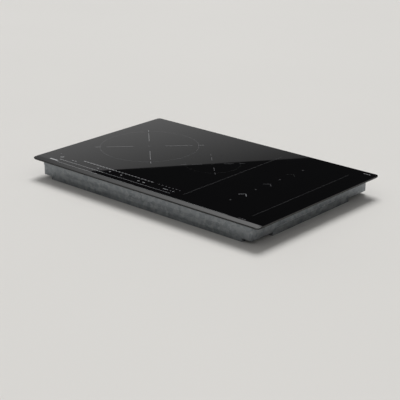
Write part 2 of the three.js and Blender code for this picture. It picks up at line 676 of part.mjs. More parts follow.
function addPowerModules() {
  const [width, depth] = [POWER_TRAY.width, POWER_TRAY.depth];
  const inside = 2 * (BOARD.wall + FACE_GAP);
  const [boardWidth, boardDepth] = [width - inside, depth - inside];
  for (const [side, x] of [["left", LARGE_ZONE.x], ["right", BRIDGE_ZONE.x]]) {
    const group = groupAt(x, POWER_TRAY.y, FLOOR_Z);
    add(`${side}_board_tray`, tray(width, depth), BLACK_PLASTIC, group);
    const board = add(`${side}_power_board`, powerBoard(boardWidth, boardDepth), CIRCUIT_BOARD, group);
    board.position.z = BOARD_Z;
    const sink = add(`${side}_heatsink`, heatsink(), ALUMINIUM, group);
    sink.position.set(-4, 0, BOARD_Z + BOARD.thickness + FACE_GAP);
  }
}

function filterBoard() {
  const board = box(FILTER_BOARD.width, FILTER_BOARD.depth, BOARD.thickness, 0, 0, FILTER_BOARD.feet);
  const z = FILTER_BOARD.feet + BOARD.thickness - 0.2;
  const chokes = [-40, 5].map((x) => join(cylinder(18, 16, x, 30, z, 20), box(8, 30, 18, x, 30, z)));
  const [fx, fy] = [FILTER_BOARD.width / 2 - 10, FILTER_BOARD.depth / 2 - 10];
  const feet = [[-fx, -fy], [fx, -fy], [-fx, fy], [fx, fy]].map(([x, y]) =>
    cylinder(3, FILTER_BOARD.feet + 0.5, x, y, 0, 8),
  );
  const socketY = -FILTER_BOARD.depth / 2 + FILTER_SOCKET.fromFront;
  const parts = [
    box(34, 18, 24, -40, -10, z),
    box(34, 18, 24, 5, -10, z),
    box(26, 30, 14, 50, 20, z),
    box(FILTER_SOCKET.width, FILTER_SOCKET.depth, FILTER_SOCKET.height, 0, socketY, z),
  ];
  return join(board, ...chokes, ...feet, ...parts);
}

function terminalBlock() {
  const base = box(TERMINAL.width, TERMINAL.depth, TERMINAL.height);
  const step = TERMINAL.width / TERMINAL.poles;
  const wells = Array.from({ length: TERMINAL.poles }, (_, i) => {
    const x = -TERMINAL.width / 2 + step * (i + 0.5);
    const well = cylinder(3.5, 12, x, -2, TERMINAL.height - 8, 12);
    const entry = box(step * 0.6, 12, 9, x, TERMINAL.depth / 2, 6);
    return [well, entry];
  }).flat();
  return cut(base, ...wells);
}

function touchCarrier() {
  const outer = box(TOUCH.width, TOUCH.depth, TOUCH.carrierHeight);
  const [width, depth] = [TOUCH.width - 2 * TOUCH.wall, TOUCH.depth - 2 * TOUCH.wall];
  const inner = box(width, depth, TOUCH.carrierHeight, 0, 0, TOUCH.carrierFloor);
  const ledges = [-1, 1].map((side) =>
    box(TOUCH.width - 2, 4, 3, 0, side * (TOUCH.depth / 2 - 3), TOUCH.carrierFloor - 0.5),
  );
  const legX = TOUCH.width / 2 - TOUCH_LEG.fromEnd;
  const legHeight = TOUCH_Z - FLOOR_Z;
  const legs = [-legX, legX].map((x) =>
    box(TOUCH_LEG.width, TOUCH_LEG.width, legHeight + 1, x, 0, -legHeight),
  );
  const slot = box(RIBBON.width + 6, 12, 12, RIBBON.x, 0, -4);
  return cut(join(cut(outer, inner), ...ledges, ...legs), slot);
}

const TOUCH_Z = GLASS_Z - COIL.glassGap - TOUCH.carrierHeight;

function touchBoard() {
  const width = TOUCH.width - 2 * (TOUCH.wall + FACE_GAP);
  const depth = TOUCH.depth - 2 * (TOUCH.wall + FACE_GAP);
  const board = box(width, depth, BOARD.thickness);
  const height = GLASS_Z - FACE_GAP - (TOUCH_Z + TOUCH_BOARD_Z) - BOARD.thickness + 0.2;
  const z = BOARD.thickness - 0.2;
  const padStep = (width - 30) / (TOUCH_PADS.count - 1);
  const pads = Array.from({ length: TOUCH_PADS.count }, (_, i) =>
    cylinder(TOUCH_PADS.radius, height, -width / 2 + 15 + i * padStep, -8, z, 8),
  );
  const displayStep = width / TOUCH_DISPLAYS.count;
  const displays = Array.from({ length: TOUCH_DISPLAYS.count }, (_, i) => {
    const x = -width / 2 + displayStep * (i + 0.5);
    return box(TOUCH_DISPLAYS.width, TOUCH_DISPLAYS.depth, height - 1, x, 9, z);
  });
  return join(board, ...pads, ...displays);
}

const TOUCH_BOARD_Z = TOUCH.carrierFloor + 2.5 + FACE_GAP;

// A flat cable from the touch board to the socket on the filter board, drawn from the side.
function touchRibbon() {
  const socketY = FILTER_BOARD.y - FILTER_BOARD.depth / 2 + FILTER_SOCKET.fromFront - FILTER_SOCKET.depth / 2;
  const reach = socketY - FILTER_BOARD.gap - TOUCH_Y;
  const socketZ = FLOOR_Z + FILTER_BOARD.feet + BOARD.thickness + FILTER_SOCKET.height / 2;
  const bottom = socketZ - TOUCH_Z - TOUCH_BOARD_Z;
  const { bend, thickness } = RIBBON;
  const side = new THREE.Shape();
  side.moveTo(0, -FACE_GAP);
  side.lineTo(0, bottom + bend);
  side.absarc(bend, bottom + bend, bend, Math.PI, Math.PI * 1.5);
  side.lineTo(reach, bottom);
  side.lineTo(reach, bottom + thickness);
  side.lineTo(bend, bottom + thickness);
  side.absarc(bend, bottom + bend, bend - thickness, Math.PI * 1.5, Math.PI, true);
  side.lineTo(thickness, -FACE_GAP);
  side.closePath();
  const ribbon = extruded(side, RIBBON.width, 0, 4);
  return ribbon.rotateX(Math.PI / 2).rotateZ(Math.PI / 2).translate(-RIBBON.width / 2, 0, 0);
}

function addTouchPanel() {
  const group = groupAt(TOUCH.x, TOUCH_Y, TOUCH_Z);
  add("touch_carrier", touchCarrier(), BLACK_PLASTIC, group);
  add("touch_board", touchBoard(), CIRCUIT_BOARD, group).position.z = TOUCH_BOARD_Z;
  add("touch_ribbon_cable", touchRibbon(), RIBBON_GREY, group).position.set(RIBBON.x, 0, TOUCH_BOARD_Z);
}

// ---------------------------------------------------------------- the assembly

add("glass_top", glassTop(), BLACK_GLASS).position.z = GLASS_Z;
add("sealing_gasket", sealingGasket(), FOAM).position.z = BUILT_IN_DEPTH;
add("glass_adhesive", adhesiveBead(), SILICONE).position.z = FLANGE_TOP;
add("support_frame", supportFrame(), GALVANISED).position.z = FLANGE_TOP;
add("bottom_casing", bottomCasing(), GALVANISED);
addClamps();
addCasingScrews();
addLargeCoil();
addSmallCoil();
addBridgeCoils();
addCoilPlates();
addFans();
addPowerModules();
add("filter_board", filterBoard(), CIRCUIT_BOARD).position.set(FILTER_BOARD.x, FILTER_BOARD.y, FLOOR_Z);
addTouchPanel();

const terminalY = CASING_DEPTH / 2 - SHEET - TERMINAL.wallGap - TERMINAL.depth / 2;
add("terminal_block", terminalBlock(), GREY_PLASTIC).position.set(0, terminalY, FLOOR_Z + TERMINAL.floor);

const coverGroup = groupAt(
  COVER_LEFT - COVER_HINGE.barrel,
  CASING_DEPTH / 2 + COVER.standOff + COVER_HINGE.barrel,
  COVER_Z + COVER.height / 2,
);
add("terminal_cover", terminalCover(), BLACK_PLASTIC, coverGroup);
add("terminal_cover_pin", coverPin(), ZINC_STEEL, coverGroup);

const grommet = add("cable_grommet", cableGrommet(), RUBBER);
grommet.position.set(GROMMET.x, CASING_DEPTH / 2, GROMMET.z);
grommet.rotation.x = Math.PI / 2;

export default hob;
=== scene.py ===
"""Builds the visible pieces of a built-in induction hob around its engineering frame."""

import json
import math

import bmesh
import bpy
from mathutils import Matrix, Vector


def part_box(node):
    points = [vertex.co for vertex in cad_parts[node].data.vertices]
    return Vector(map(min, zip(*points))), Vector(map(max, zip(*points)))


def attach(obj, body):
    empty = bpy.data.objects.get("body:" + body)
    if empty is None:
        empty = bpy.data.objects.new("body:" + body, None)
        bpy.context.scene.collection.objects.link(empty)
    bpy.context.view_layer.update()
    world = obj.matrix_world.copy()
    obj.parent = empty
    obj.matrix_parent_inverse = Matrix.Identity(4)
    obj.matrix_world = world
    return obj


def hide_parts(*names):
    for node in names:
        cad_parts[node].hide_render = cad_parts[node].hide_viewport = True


bl_info = {
    "name": "Induction Hob",
    "version": (1, 0, 0),
    "blender": (4, 5, 0),
    "location": "View3D > Sidebar > Hob",
    "description": "Glass, print, coils, casing finishes and a small studio for an induction hob",
    "category": "Object",
}

MM = 0.001
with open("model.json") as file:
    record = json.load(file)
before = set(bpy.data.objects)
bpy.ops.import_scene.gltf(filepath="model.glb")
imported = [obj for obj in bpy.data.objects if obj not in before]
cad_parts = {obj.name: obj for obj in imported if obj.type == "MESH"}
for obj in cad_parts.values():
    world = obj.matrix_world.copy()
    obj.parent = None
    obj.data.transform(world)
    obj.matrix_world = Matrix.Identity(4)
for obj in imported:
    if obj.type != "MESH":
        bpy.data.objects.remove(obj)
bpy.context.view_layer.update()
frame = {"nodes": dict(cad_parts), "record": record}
BODY_OF = {
    node: body
    for body, nodes in frame["record"]["behaviour"]["bodies"].items()
    for node in nodes
}
SLOT_OF = {part["node"]: part["material_slot"] for part in frame["record"]["subparts"]}
CORNERS = ("front_left", "front_right", "rear_left", "rear_right")


def middle_of(node):
    low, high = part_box(node)
    return (low + high) / 2


# ---------------------------------------------------------------- what a user may change


def length(name, text, millimetres):
    return bpy.props.FloatProperty(
        name=name, description=text, default=millimetres * MM, min=0, unit="LENGTH"
    )


def strength(name, text, default):
    return bpy.props.FloatProperty(name=name, description=text, default=default, min=0)


def degrees(name, text, value):
    return bpy.props.FloatProperty(
        name=name, description=text, default=math.radians(value), subtype="ANGLE"
    )


def linear(hex_colour):
    """An sRGB hex value as linear red, green, blue and alpha."""
    channels = [int(hex_colour[i : i + 2], 16) / 255 for i in (1, 3, 5)]
    light = [c / 12.92 if c <= 0.04045 else ((c + 0.055) / 1.055) ** 2.4 for c in channels]
    return (*light, 1.0)


def colour(name, text, hex_colour):
    return bpy.props.FloatVectorProperty(
        name=name,
        description=text,
        default=linear(hex_colour),
        size=4,
        min=0,
        max=1,
        subtype="COLOR",
    )


class HobGlassSettings(bpy.types.PropertyGroup):
    corner: length("Corner radius", "Radius of the corners in plan", 10)
    edge_round: length("Edge rounding", "Radius of the ground edges of the glass", 0.8)
    facet: length("Front facet", "Width of the sloping facet along the front", 18)
    print_depth: length("Print thickness", "Height of the enamel print", 0.04)
    tint: colour("Glass colour", "Body colour of the glass-ceramic", "#020203")


class HobPrintSettings(bpy.types.PropertyGroup):
    line: length("Line width", "Width of the bridge zone's lines", 0.9)
    ring: length("Circle width", "Width of the round zones' circles", 0.45)
    # The bright and normal prints also colour the painted highlight along the fold of the facet. The
    # bright print also colours the painted reflection on the guide line's left stretch.
    bright: colour("Bright print", "Print of the touch strip and the large cross", "#bcbdbf")
    normal: colour("Normal print", "Print of the small cross and the nearest chevron", "#7c7d80")
    dim: colour("Dim print", "Print of the bridge lines and dots", "#434446")
    faint: colour("Faint print", "Print of the small circle and the last chevron", "#262728")


class HobCoilSettings(bpy.types.PropertyGroup):
    pitch: length("Turn pitch", "Distance from one turn to the next", 4.2)
    strand: length("Litz diameter", "Diameter of the stranded wire", 3.8)


class HobStageSettings(bpy.types.PropertyGroup):
    floor: colour("Floor colour", "Colour of the pale floor", "#d6d4d0")
    dark: strength("Dark level", "Brightness of the unlit parts of the studio", 0.018)
    dome: strength("Dome level", "Brightness of the soft light overhead", 0.4)
    key: strength("Key light", "Strength of the soft key light", 2.4)
    azimuth: degrees("Camera azimuth", "Turn of the camera round the hob", 41.483)
    elevation: degrees("Camera elevation", "Camera above the horizon", 20.393)
    roll: degrees("Camera roll", "Turn about the line of sight", 0.123)
    distance: length("Camera distance", "From the middle of the glass, along the view", 3178.7)
    aim_left: length("Aim left", "How far the camera stands left of the hob's middle", 5.3)
    aim_down: length("Aim down", "How far the camera stands below the hob's middle", 92.5)


# ---------------------------------------------------------------- nodes and materials


def add_node(tree, kind, values=None, **settings):
    """Adds a node, sets its attributes, and fills or links its inputs."""
    node = tree.nodes.new(kind)
    for name, value in settings.items():
        setattr(node, name, value)
    for socket, value in (values or {}).items():
        if isinstance(value, bpy.types.NodeSocket):
            tree.links.new(value, node.inputs[socket])
        else:
            node.inputs[socket].default_value = value
    return node


def start_material(name, roughness, metallic=0.0, ior=1.5):
    """A Principled material and the coordinates that its patterns read."""
    material = bpy.data.materials.new(name)
    material.use_nodes = True
    tree = material.node_tree
    shader = tree.nodes["Principled BSDF"]
    shader.inputs["Roughness"].default_value = roughness
    shader.inputs["Metallic"].default_value = metallic
    shader.inputs["IOR"].default_value = ior
    where = add_node(tree, "ShaderNodeTexCoord").outputs["Object"]
    return material, tree, shader, where


def tint_by(tree, shader, mask, low, high):
    mix = add_node(tree, "ShaderNodeMix", {0: mask, 6: low, 7: high}, data_type="RGBA")
    tree.links.new(mix.outputs[2], shader.inputs["Base Color"])


def roughness_by(tree, shader, mask, low, high):
    spread = add_node(tree, "ShaderNodeMapRange", {"Value": mask, "To Min": low, "To Max": high})
    tree.links.new(spread.outputs[0], shader.inputs["Roughness"])


def bump_by(tree, shader, height, depth_mm):
    bump = add_node(tree, "ShaderNodeBump", {"Distance": depth_mm * MM, "Height": height})
    tree.links.new(bump.outputs[0], shader.inputs["Normal"])


def noise_of(tree, where, size_mm, detail=3.0):
    return add_node(
        tree, "ShaderNodeTexNoise", {"Vector": where, "Scale": 1 / (size_mm * MM), "Detail": detail}
    ).outputs["Fac"]


def cells_of(tree, where, size_mm, output="Color"):
    return add_node(
        tree, "ShaderNodeTexVoronoi", {"Vector": where, "Scale": 1 / (size_mm * MM)}
    ).outputs[output]


def glass_ceramic(tint):
    """Polished black glass-ceramic: a near-black body, mirror gloss, and faint wiping haze."""
    material, tree, shader, where = start_material("glass_ceramic_polished", 0.04, ior=1.52)
    haze = noise_of(tree, where, 70, 4)
    lighter = tuple(c * 1.6 for c in tint[:3]) + (1.0,)
    tint_by(tree, shader, haze, tuple(tint), lighter)
    roughness_by(tree, shader, haze, 0.004, 0.014)
    return material


def enamel_print(name, tone):
    """Fired lustre print: a satin metallic ink with the fine raster of the screen."""
    material, tree, shader, where = start_material(name, 0.18, 0.35)
    raster = cells_of(tree, where, 0.5, "Distance")
    darker = tuple(c * 0.82 for c in tone[:3]) + (1.0,)
    tint_by(tree, shader, raster, tuple(tone), darker)
    bump_by(tree, shader, raster, 0.01)
    return material


def galvanised_sheet():
    """Hot-dip galvanised steel: crystal spangle of a few millimetres and a soft zinc gloss."""
    material, tree, shader, where = start_material("steel_sheet_galvanised", 0.4, 0.9)
    spangle = cells_of(tree, where, 9)
    grey = add_node(tree, "ShaderNodeRGBToBW", {"Color": spangle}).outputs[0]
    tint_by(tree, shader, grey, linear("#777c80"), linear("#9ea2a5"))
    roughness_by(tree, shader, grey, 0.3, 0.5)
    bump_by(tree, shader, noise_of(tree, where, 1.2), 0.01)
    return material


def zinc_plate():
    """Bright zinc plating: pale metal, slightly clouded."""
    material, tree, shader, where = start_material("steel_zinc_plated", 0.28, 1.0)
    cloud = noise_of(tree, where, 4)
    tint_by(tree, shader, cloud, linear("#a9adb3"), linear("#c9ccce"))
    roughness_by(tree, shader, cloud, 0.2, 0.36)
    return material


def mill_aluminium():
    """Rolled aluminium: fine lines along the rolling direction."""
    material, tree, shader, where = start_material("aluminium_mill_finish", 0.36, 1.0)
    stretched = add_node(tree, "ShaderNodeMapping", {"Vector": where, "Scale": (0.03, 1.0, 1.0)})
    lines = noise_of(tree, stretched.outputs[0], 0.8)
    tint_by(tree, shader, lines, linear("#b4b7ba"), linear("#d0d2d4"))
    roughness_by(tree, shader, lines, 0.28, 0.44)
    bump_by(tree, shader, lines, 0.006)
    return material


def litz_copper():
    """Enamelled litz: warm copper broken up by its fine strands."""
    material, tree, shader, where = start_material("copper_litz_enamelled", 0.4, 0.9)
    strands = noise_of(tree, where, 0.7, 5)
    tint_by(tree, shader, strands, linear("#7c3f1f"), linear("#c4794a"))
    roughness_by(tree, shader, strands, 0.3, 0.55)
    bump_by(tree, shader, strands, 0.12)
    return material


def moulded(name, dark, light):
    """Glass-filled moulding: a fine spark-eroded grain of about half a millimetre."""
    material, tree, shader, where = start_material(name, 0.55, ior=1.46)
    grain = noise_of(tree, where, 0.5, 2)
    tint_by(tree, shader, noise_of(tree, where, 12), linear(dark), linear(light))
    roughness_by(tree, shader, grain, 0.45, 0.65)
    bump_by(tree, shader, grain, 0.03)
    return material


def rubbery(name, dark, light, cell_mm):
    """Foam or rubber: matt, with pores of the given size."""
    material, tree, shader, where = start_material(name, 0.85, ior=1.45)
    pores = cells_of(tree, where, cell_mm, "Distance")
    tint_by(tree, shader, pores, linear(dark), linear(light))
    bump_by(tree, shader, pores, 0.12)
    return material


def pressed_mica():
    """Pressed mica paper: tan, with overlapping flakes that glint a little."""
    material, tree, shader, where = start_material("mica_pressed", 0.6, ior=1.58)
    flakes = cells_of(tree, where, 5)
    grey = add_node(tree, "ShaderNodeRGBToBW", {"Color": flakes}).outputs[0]
    tint_by(tree, shader, grey, linear("#9b8a6a"), linear("#c9b893"))
    roughness_by(tree, shader, grey, 0.45, 0.75)
    return material


def solder_resist():
    """Green solder resist over copper areas with straight and slanting edges, about 9 mm across."""
    material, tree, shader, where = start_material("board_solder_resist", 0.4, ior=1.5)
    areas = add_node(
        tree, "ShaderNodeTexVoronoi", {"Vector": where, "Scale": 1 / (9 * MM)}, distance="CHEBYCHEV"
    ).outputs["Color"]
    copper = add_node(tree, "ShaderNodeRGBToBW", {"Color": areas}).outputs[0]
    tint_by(tree, shader, copper, linear("#1b4428"), linear("#2b6239"))
    bump_by(tree, shader, copper, 0.05)
    return material


def material_set():
    """One finish for each material slot of the record."""
    glass = bpy.context.scene.hob_glass
    return {
        "glass_ceramic": glass_ceramic(glass.tint),
        "seal_foam": rubbery("foam_closed_cell", "#101011", "#262628", 0.6),
        "silicone": rubbery("silicone_cured", "#222224", "#2e2e31", 3),
        "galvanised_steel": galvanised_sheet(),
        "zinc_steel": zinc_plate(),
        "moulded_black": moulded("polyamide_moulded_black", "#141416", "#1f2023"),
        "moulded_grey": moulded("polyamide_moulded_grey", "#606467", "#777b7e"),
        "copper_litz": litz_copper(),
        "mica": pressed_mica(),
        "sensor_silicone": rubbery("silicone_moulded_grey", "#5d6164", "#75797c", 1.5),
        "aluminium_sheet": mill_aluminium(),
        "circuit_board": solder_resist(),
        "ribbon_grey": moulded("pvc_ribbon_grey", "#8b8e92", "#a6a9ad"),
        "rubber_black": rubbery("rubber_moulded_black", "#0e0e0e", "#1c1c1c", 1.2),
        # Finishes of the small parts on the boards.
        "capacitor_sleeve": moulded("pvc_shrunk_sleeve", "#141b26", "#1d2736"),
        "film_box": moulded("polyester_box_ivory", "#a39c86", "#b9b29b"),
        "ferrite": rubbery("ferrite_sintered", "#1d1e20", "#2b2c2f", 0.8),
        "connector_nylon": moulded("nylon_connector_natural", "#c4c0b2", "#d6d2c5"),
    }


MATERIALS = {}


def finish_piece(piece, body, replaced=()):
    """Puts a piece in the scene, on its body and the nodes that it stands for."""
    if piece.name not in bpy.context.scene.collection.objects:
        bpy.context.scene.collection.objects.link(piece)
    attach(piece, body)
    if replaced:
        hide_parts(*replaced)
    return piece


def piece_from(bm, name, materials, smooth=True):
    mesh = bpy.data.meshes.new(name)
    bm.to_mesh(mesh)
    bm.free()
    for material in materials:
        mesh.materials.append(material)
    for polygon in mesh.polygons:
        polygon.use_smooth = smooth
    return bpy.data.objects.new(name, mesh)


def apply_modifiers(piece):
    """Turns a piece with live modifiers into a plain mesh."""
    scene = bpy.context.scene
    if piece.name not in scene.collection.objects:
        scene.collection.objects.link(piece)
    shown = piece.evaluated_get(bpy.context.evaluated_depsgraph_get())
    mesh = bpy.data.meshes.new_from_object(shown)
    piece.modifiers.clear()
    old = piece.data
    piece.data = mesh
    bpy.data.meshes.remove(old)
    return piece


def shade_crisply(piece):
    """Smooth over narrow faces such as roundings and turned walls, flat over broad ones."""
    narrow = 1.2 * MM
    points = piece.data.vertices
    for polygon in piece.data.polygons:
        around = sum((points[a].co - points[b].co).length for a, b in polygon.edge_keys)
        polygon.use_smooth = polygon.area < narrow * around
    return piece


def softened_copy(node, name, radius_mm):
    """A merged copy of a CAD node whose sharp edges are rounded."""
    bm = bmesh.new()
    bm.from_mesh(frame["nodes"][node].data)
    bmesh.ops.remove_doubles(bm, verts=bm.verts, dist=1e-6)
    bmesh.ops.dissolve_limit(bm, angle_limit=math.radians(1), verts=bm.verts, edges=bm.edges)
    piece = piece_from(bm, name, [MATERIALS[SLOT_OF[node]]])
    rounding = piece.modifiers.new("rounding", "BEVEL")
    rounding.width = radius_mm * MM
    rounding.segments = 2
    rounding.limit_method = "ANGLE"
    rounding.angle_limit = math.radians(40)
    rounding.use_clamp_overlap = True
    return shade_crisply(apply_modifiers(piece))


# ---------------------------------------------------------------- glass


class HOB_OT_glass(bpy.types.Operator):
    """Makes the glass plate with its ground edges and its long front facet"""

    bl_idname = "hob.glass"
    bl_label = "Glass plate"

    def execute(self, context):
        settings = context.scene.hob_glass
        self.low, self.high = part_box("glass_top")
        top = self.high.z - settings.print_depth
        cad = frame["nodes"]["glass_top"].data.vertices
        hair = 0.01 * MM
        front_low = max(v.co.z for v in cad if v.co.y < self.low.y + hair)
        self.fold = self.low.y + settings.facet
        slope = (top - front_low) / settings.facet
        radius = settings.edge_round

        # Rings from the middle of the underside, round the ground edge, to the polished top.
        steps = 5
        rings = []
        for i in range(steps + 1):
            angle = -math.pi / 2 + math.pi / 2 * i / steps
            rings.append((radius * (1 - math.cos(angle)), radius * (1 + math.sin(angle)), 0))
        for i in range(steps + 1):
            angle = math.pi / 2 * i / steps
            rings.append((radius * (1 - math.cos(angle)), radius * (1 - math.sin(angle)), 1))
        bm = bmesh.new()
        loops = []
        for inset, step, upper in rings:
            loop = []
            for x, y in self.outline(inset, settings.corner):
                fall = max(0.0, self.fold - y) * slope
                z = top - fall - step if upper else self.low.z + step
                loop.append(bm.verts.new((x, y, z)))
            loops.append(loop)
        count = len(loops[0])
        for lower, upper in zip(loops, loops[1:]):
            for i in range(count):
                j = (i + 1) % count
                bm.faces.new((lower[i], lower[j], upper[j], upper[i]))
        bm.faces.new(loops[0][::-1])
        # The top is two flat faces that meet in one fold.
        lid = bm.faces.new(loops[-1])
        fold_ends = [v for v in loops[-1] if abs(v.co.y - self.fold) < hair / 10]
        bmesh.utils.face_split(lid, fold_ends[0], fold_ends[1])
        piece = piece_from(bm, "glass_plate", [MATERIALS["glass_ceramic"]])
        # Smooth round the corners, whose strips are the only four-sided faces below 1 square cm.
        for polygon in piece.data.polygons:
            polygon.use_smooth = len(polygon.vertices) == 4 and polygon.area < 1e-4
        finish_piece(piece, "root", ["glass_top"])
        return {"FINISHED"}

    def outline(self, inset, corner):
        """The rounded rectangle, with a point on each side where the fold meets it."""
        turn = 12
        points = []
        for cx, cy, first in (
            (self.high.x - corner, self.low.y + corner, -90),
            (self.high.x - corner, self.high.y - corner, 0),
            (self.low.x + corner, self.high.y - corner, 90),
            (self.low.x + corner, self.low.y + corner, 180),
        ):
            if first == 0:
                points.append((self.high.x - inset, self.fold))
            if first == 180:
                points.append((self.low.x + inset, self.fold))
            for i in range(turn + 1):
                angle = math.radians(first + 90 * i / turn)
                reach = corner - inset
                points.append((cx + reach * math.cos(angle), cy + reach * math.sin(angle)))
        return points


# ---------------------------------------------------------------- print


PRINT_TONES = ("bright", "normal", "dim", "faint")
BRIGHT, NORMAL, DIM, FAINT = range(4)


def full_turn(steps):
    """Equal angles all the way round, in radians."""
    return [2 * math.pi * i / steps for i in range(steps)]


def prism(bm, outline, foot, top, tone=0):
    """An upright prism over an outline in plan."""
    low = [bm.verts.new((x, y, foot)) for x, y in outline]
    high = [bm.verts.new((x, y, top)) for x, y in outline]
    faces = [bm.faces.new(high), bm.faces.new(low[::-1])]
    for i in range(len(outline)):
        j = (i + 1) % len(outline)
        faces.append(bm.faces.new((low[i], low[j], high[j], high[i])))
    for face in faces:
        face.material_index = tone


class Print:
    """Flat enamel shapes on the glass, in metres in plan."""

    def __init__(self, context):
        glass = context.scene.hob_glass
        self.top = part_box("glass_top")[1].z
        self.foot = self.top - glass.print_depth
        self.bm = bmesh.new()

    def prism(self, outline, tone=0):
        prism(self.bm, outline, self.foot, self.top, tone)

    def bar(self, start, end, width, tone=0):
        start, end = Vector(start), Vector(end)
        side = (end - start).normalized().orthogonal() * width / 2
        self.prism([start - side, end - side, end + side, start + side], tone)

    def disc(self, centre, radius, tone=0, sides=24):
        points = [
            (centre[0] + radius * math.cos(a), centre[1] + radius * math.sin(a))
            for a in full_turn(sides)
        ]
        self.prism(points, tone)

    def arc(self, centre, radius, width, first=0.0, last=2 * math.pi, tone=0, steps=96):
        """A ring or part of one, as a run of short flat pieces that share their ends."""
        closed = abs(last - first - 2 * math.pi) < 1e-6
        count = steps if closed else steps + 1
        rows = []
        for i in range(count):
            angle = first + (last - first) * i / steps
            ray = Vector((math.cos(angle), math.sin(angle)))
            corners = [Vector(centre) + ray * r for r in (radius - width / 2, radius + width / 2)]
            heights = (self.foot, self.top)
            rows.append([self.bm.verts.new((c.x, c.y, z)) for z in heights for c in corners])
        for i in range(steps):
            a, b = rows[i], rows[(i + 1) % count]
            for p, q in ((0, 1), (1, 3), (3, 2), (2, 0)):
                self.bm.faces.new((a[p], a[q], b[q], b[p])).material_index = tone
        if not closed:
            for row, order in ((rows[0], (0, 2, 3, 1)), (rows[-1], (0, 1, 3, 2))):
                self.bm.faces.new([row[i] for i in order]).material_index = tone

    def finish(self, name):
        bmesh.ops.recalc_face_normals(self.bm, faces=self.bm.faces)
        tones = [MATERIALS[f"print_{tone}"] for tone in PRINT_TONES]
        return finish_piece(piece_from(self.bm, name, tones, smooth=False), "root")


class HOB_OT_zone_print(bpy.types.Operator):
    """Prints the two round zones: a faint circle, a diagonal cross and its ticks"""

    bl_idname = "hob.zone_print"
    bl_label = "Round zone print"

    def execute(self, context):
        sizes = context.scene.hob_print
        # Tones of the circle and the cross, then the arms and ticks: two radii and a width, in mm.
        zones = {
            "large": (NORMAL, BRIGHT, ((45, 122, 0.8), (138, 154, 1.0))),
            "small": (FAINT, NORMAL, ((30, 57, 0.9), (72, 87, 0.8))),
        }
        for zone, (ring_tone, cross_tone, stretches) in zones.items():
            centre = middle_of(f"{zone}_coil_sensor")
            low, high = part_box(f"{zone}_coil_former")
            enamel = Print(context)
            ring = sizes.ring if zone == "large" else sizes.ring * 0.6
            enamel.arc(centre.xy, (high.x - low.x) / 2, ring, tone=ring_tone)
            for quarter in range(4):
                angle = math.radians(45 + 90 * quarter)
                ray = Vector((math.cos(angle), math.sin(angle)))
                for near, far, width in stretches:
                    ends = [centre.xy + ray * reach * MM for reach in (near, far)]
                    enamel.bar(*ends, width * MM, cross_tone)
            enamel.arc(centre.xy, 4 * MM, sizes.ring, tone=ring_tone, steps=24)
            enamel.finish(f"{zone}_zone_print")
        return {"FINISHED"}


class HOB_OT_bridge_print(bpy.types.Operator):
    """Prints the bridge zone: side lines, dots and fading chevrons"""

    bl_idname = "hob.bridge_print"
    bl_label = "Bridge zone print"

    def execute(self, context):
        sizes = context.scene.hob_print
        enamel = Print(context)
        low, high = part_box("bridge_mica_sheet")
        # The print sits a little right of the coils and towards the front.
        print_shift = Vector((2 * MM, -2.4 * MM))
        side_margin, end_margin = 9 * MM, 3.5 * MM
        for x in (low.x - side_margin, high.x + side_margin):
            start = Vector((x, low.y - end_margin)) + print_shift
            enamel.bar(start, (start.x, high.y + end_margin + print_shift.y), sizes.line, DIM)
        dots = [middle_of(f"bridge_coil_{i}_sensor").xy + print_shift for i in range(1, 5)]
        for dot in dots:
            enamel.disc(dot, 2.35 * MM, DIM)
        # Each chevron points to the back, between two dots.
        for dot, following, thick, tone in zip(dots, dots[1:], (2.5, 1.9, 0.8), (NORMAL, DIM, FAINT)):
            apex = (dot + following) / 2 + Vector((2 * MM, 7 * MM))
            for side in (-1, 1):
                enamel.bar(apex, apex + Vector((side * 13 * MM, -13 * MM)), thick * MM, tone)
        enamel.finish("bridge_zone_print")
        return {"FINISHED"}


def start_tree(name, **inputs):
    """A Geometry Nodes tree with the named inputs and a finish, and the sockets that give them."""
    tree = bpy.data.node_groups.new(name, "GeometryNodeTree")
    for label, kind in {"Geometry": "Geometry", **inputs, "Finish": "Material"}.items():
        tree.interface.new_socket(label, in_out="INPUT", socket_type=f"NodeSocket{kind}")
    tree.interface.new_socket("Geometry", in_out="OUTPUT", socket_type="NodeSocketGeometry")
    return tree, add_node(tree, "NodeGroupInput").outputs


def end_tree(tree, geometry, finish):
    """Makes the instances real and gives them their finish."""
    real = add_node(tree, "GeometryNodeRealizeInstances", {"Geometry": geometry})
    done = add_node(
        tree, "GeometryNodeSetMaterial", {"Geometry": real.outputs[0], "Material": finish}
    )
    add_node(tree, "NodeGroupOutput", {"Geometry": done.outputs[0]})
    return tree


def row_tree(name, shape):
    """Geometry Nodes: a straight row of equal copies of a unit shape, stretched to a size."""
    tree, given = start_tree(name, Count="Int", Start="Vector", Step="Vector", Size="Vector")
    row = add_node(
        tree, "GeometryNodeMeshLine",
        {"Count": given["Count"], "Start Location": given["Start"], "Offset": given["Step"]},
    )
    unit = add_node(tree, shape)
    copies = add_node(
        tree, "GeometryNodeInstanceOnPoints",
        {"Points": row.outputs["Mesh"], "Instance": unit.outputs["Mesh"], "Scale": given["Size"]},
    )
    return end_tree(tree, copies.outputs["Instances"], given["Finish"])


def grown(tree, name, values):
    """Runs a Geometry Nodes tree with the named inputs and returns its plain mesh as a new object."""
    seed = bpy.data.objects.new(name, bpy.data.meshes.new(name))
    bpy.context.scene.collection.objects.link(seed)
    modifier = seed.modifiers.new("grow", "NODES")
    modifier.node_group = tree
    for item in tree.interface.items_tree:
        if item.in_out == "INPUT" and item.name in values:
            modifier[item.identifier] = values[item.name]
    return apply_modifiers(seed)


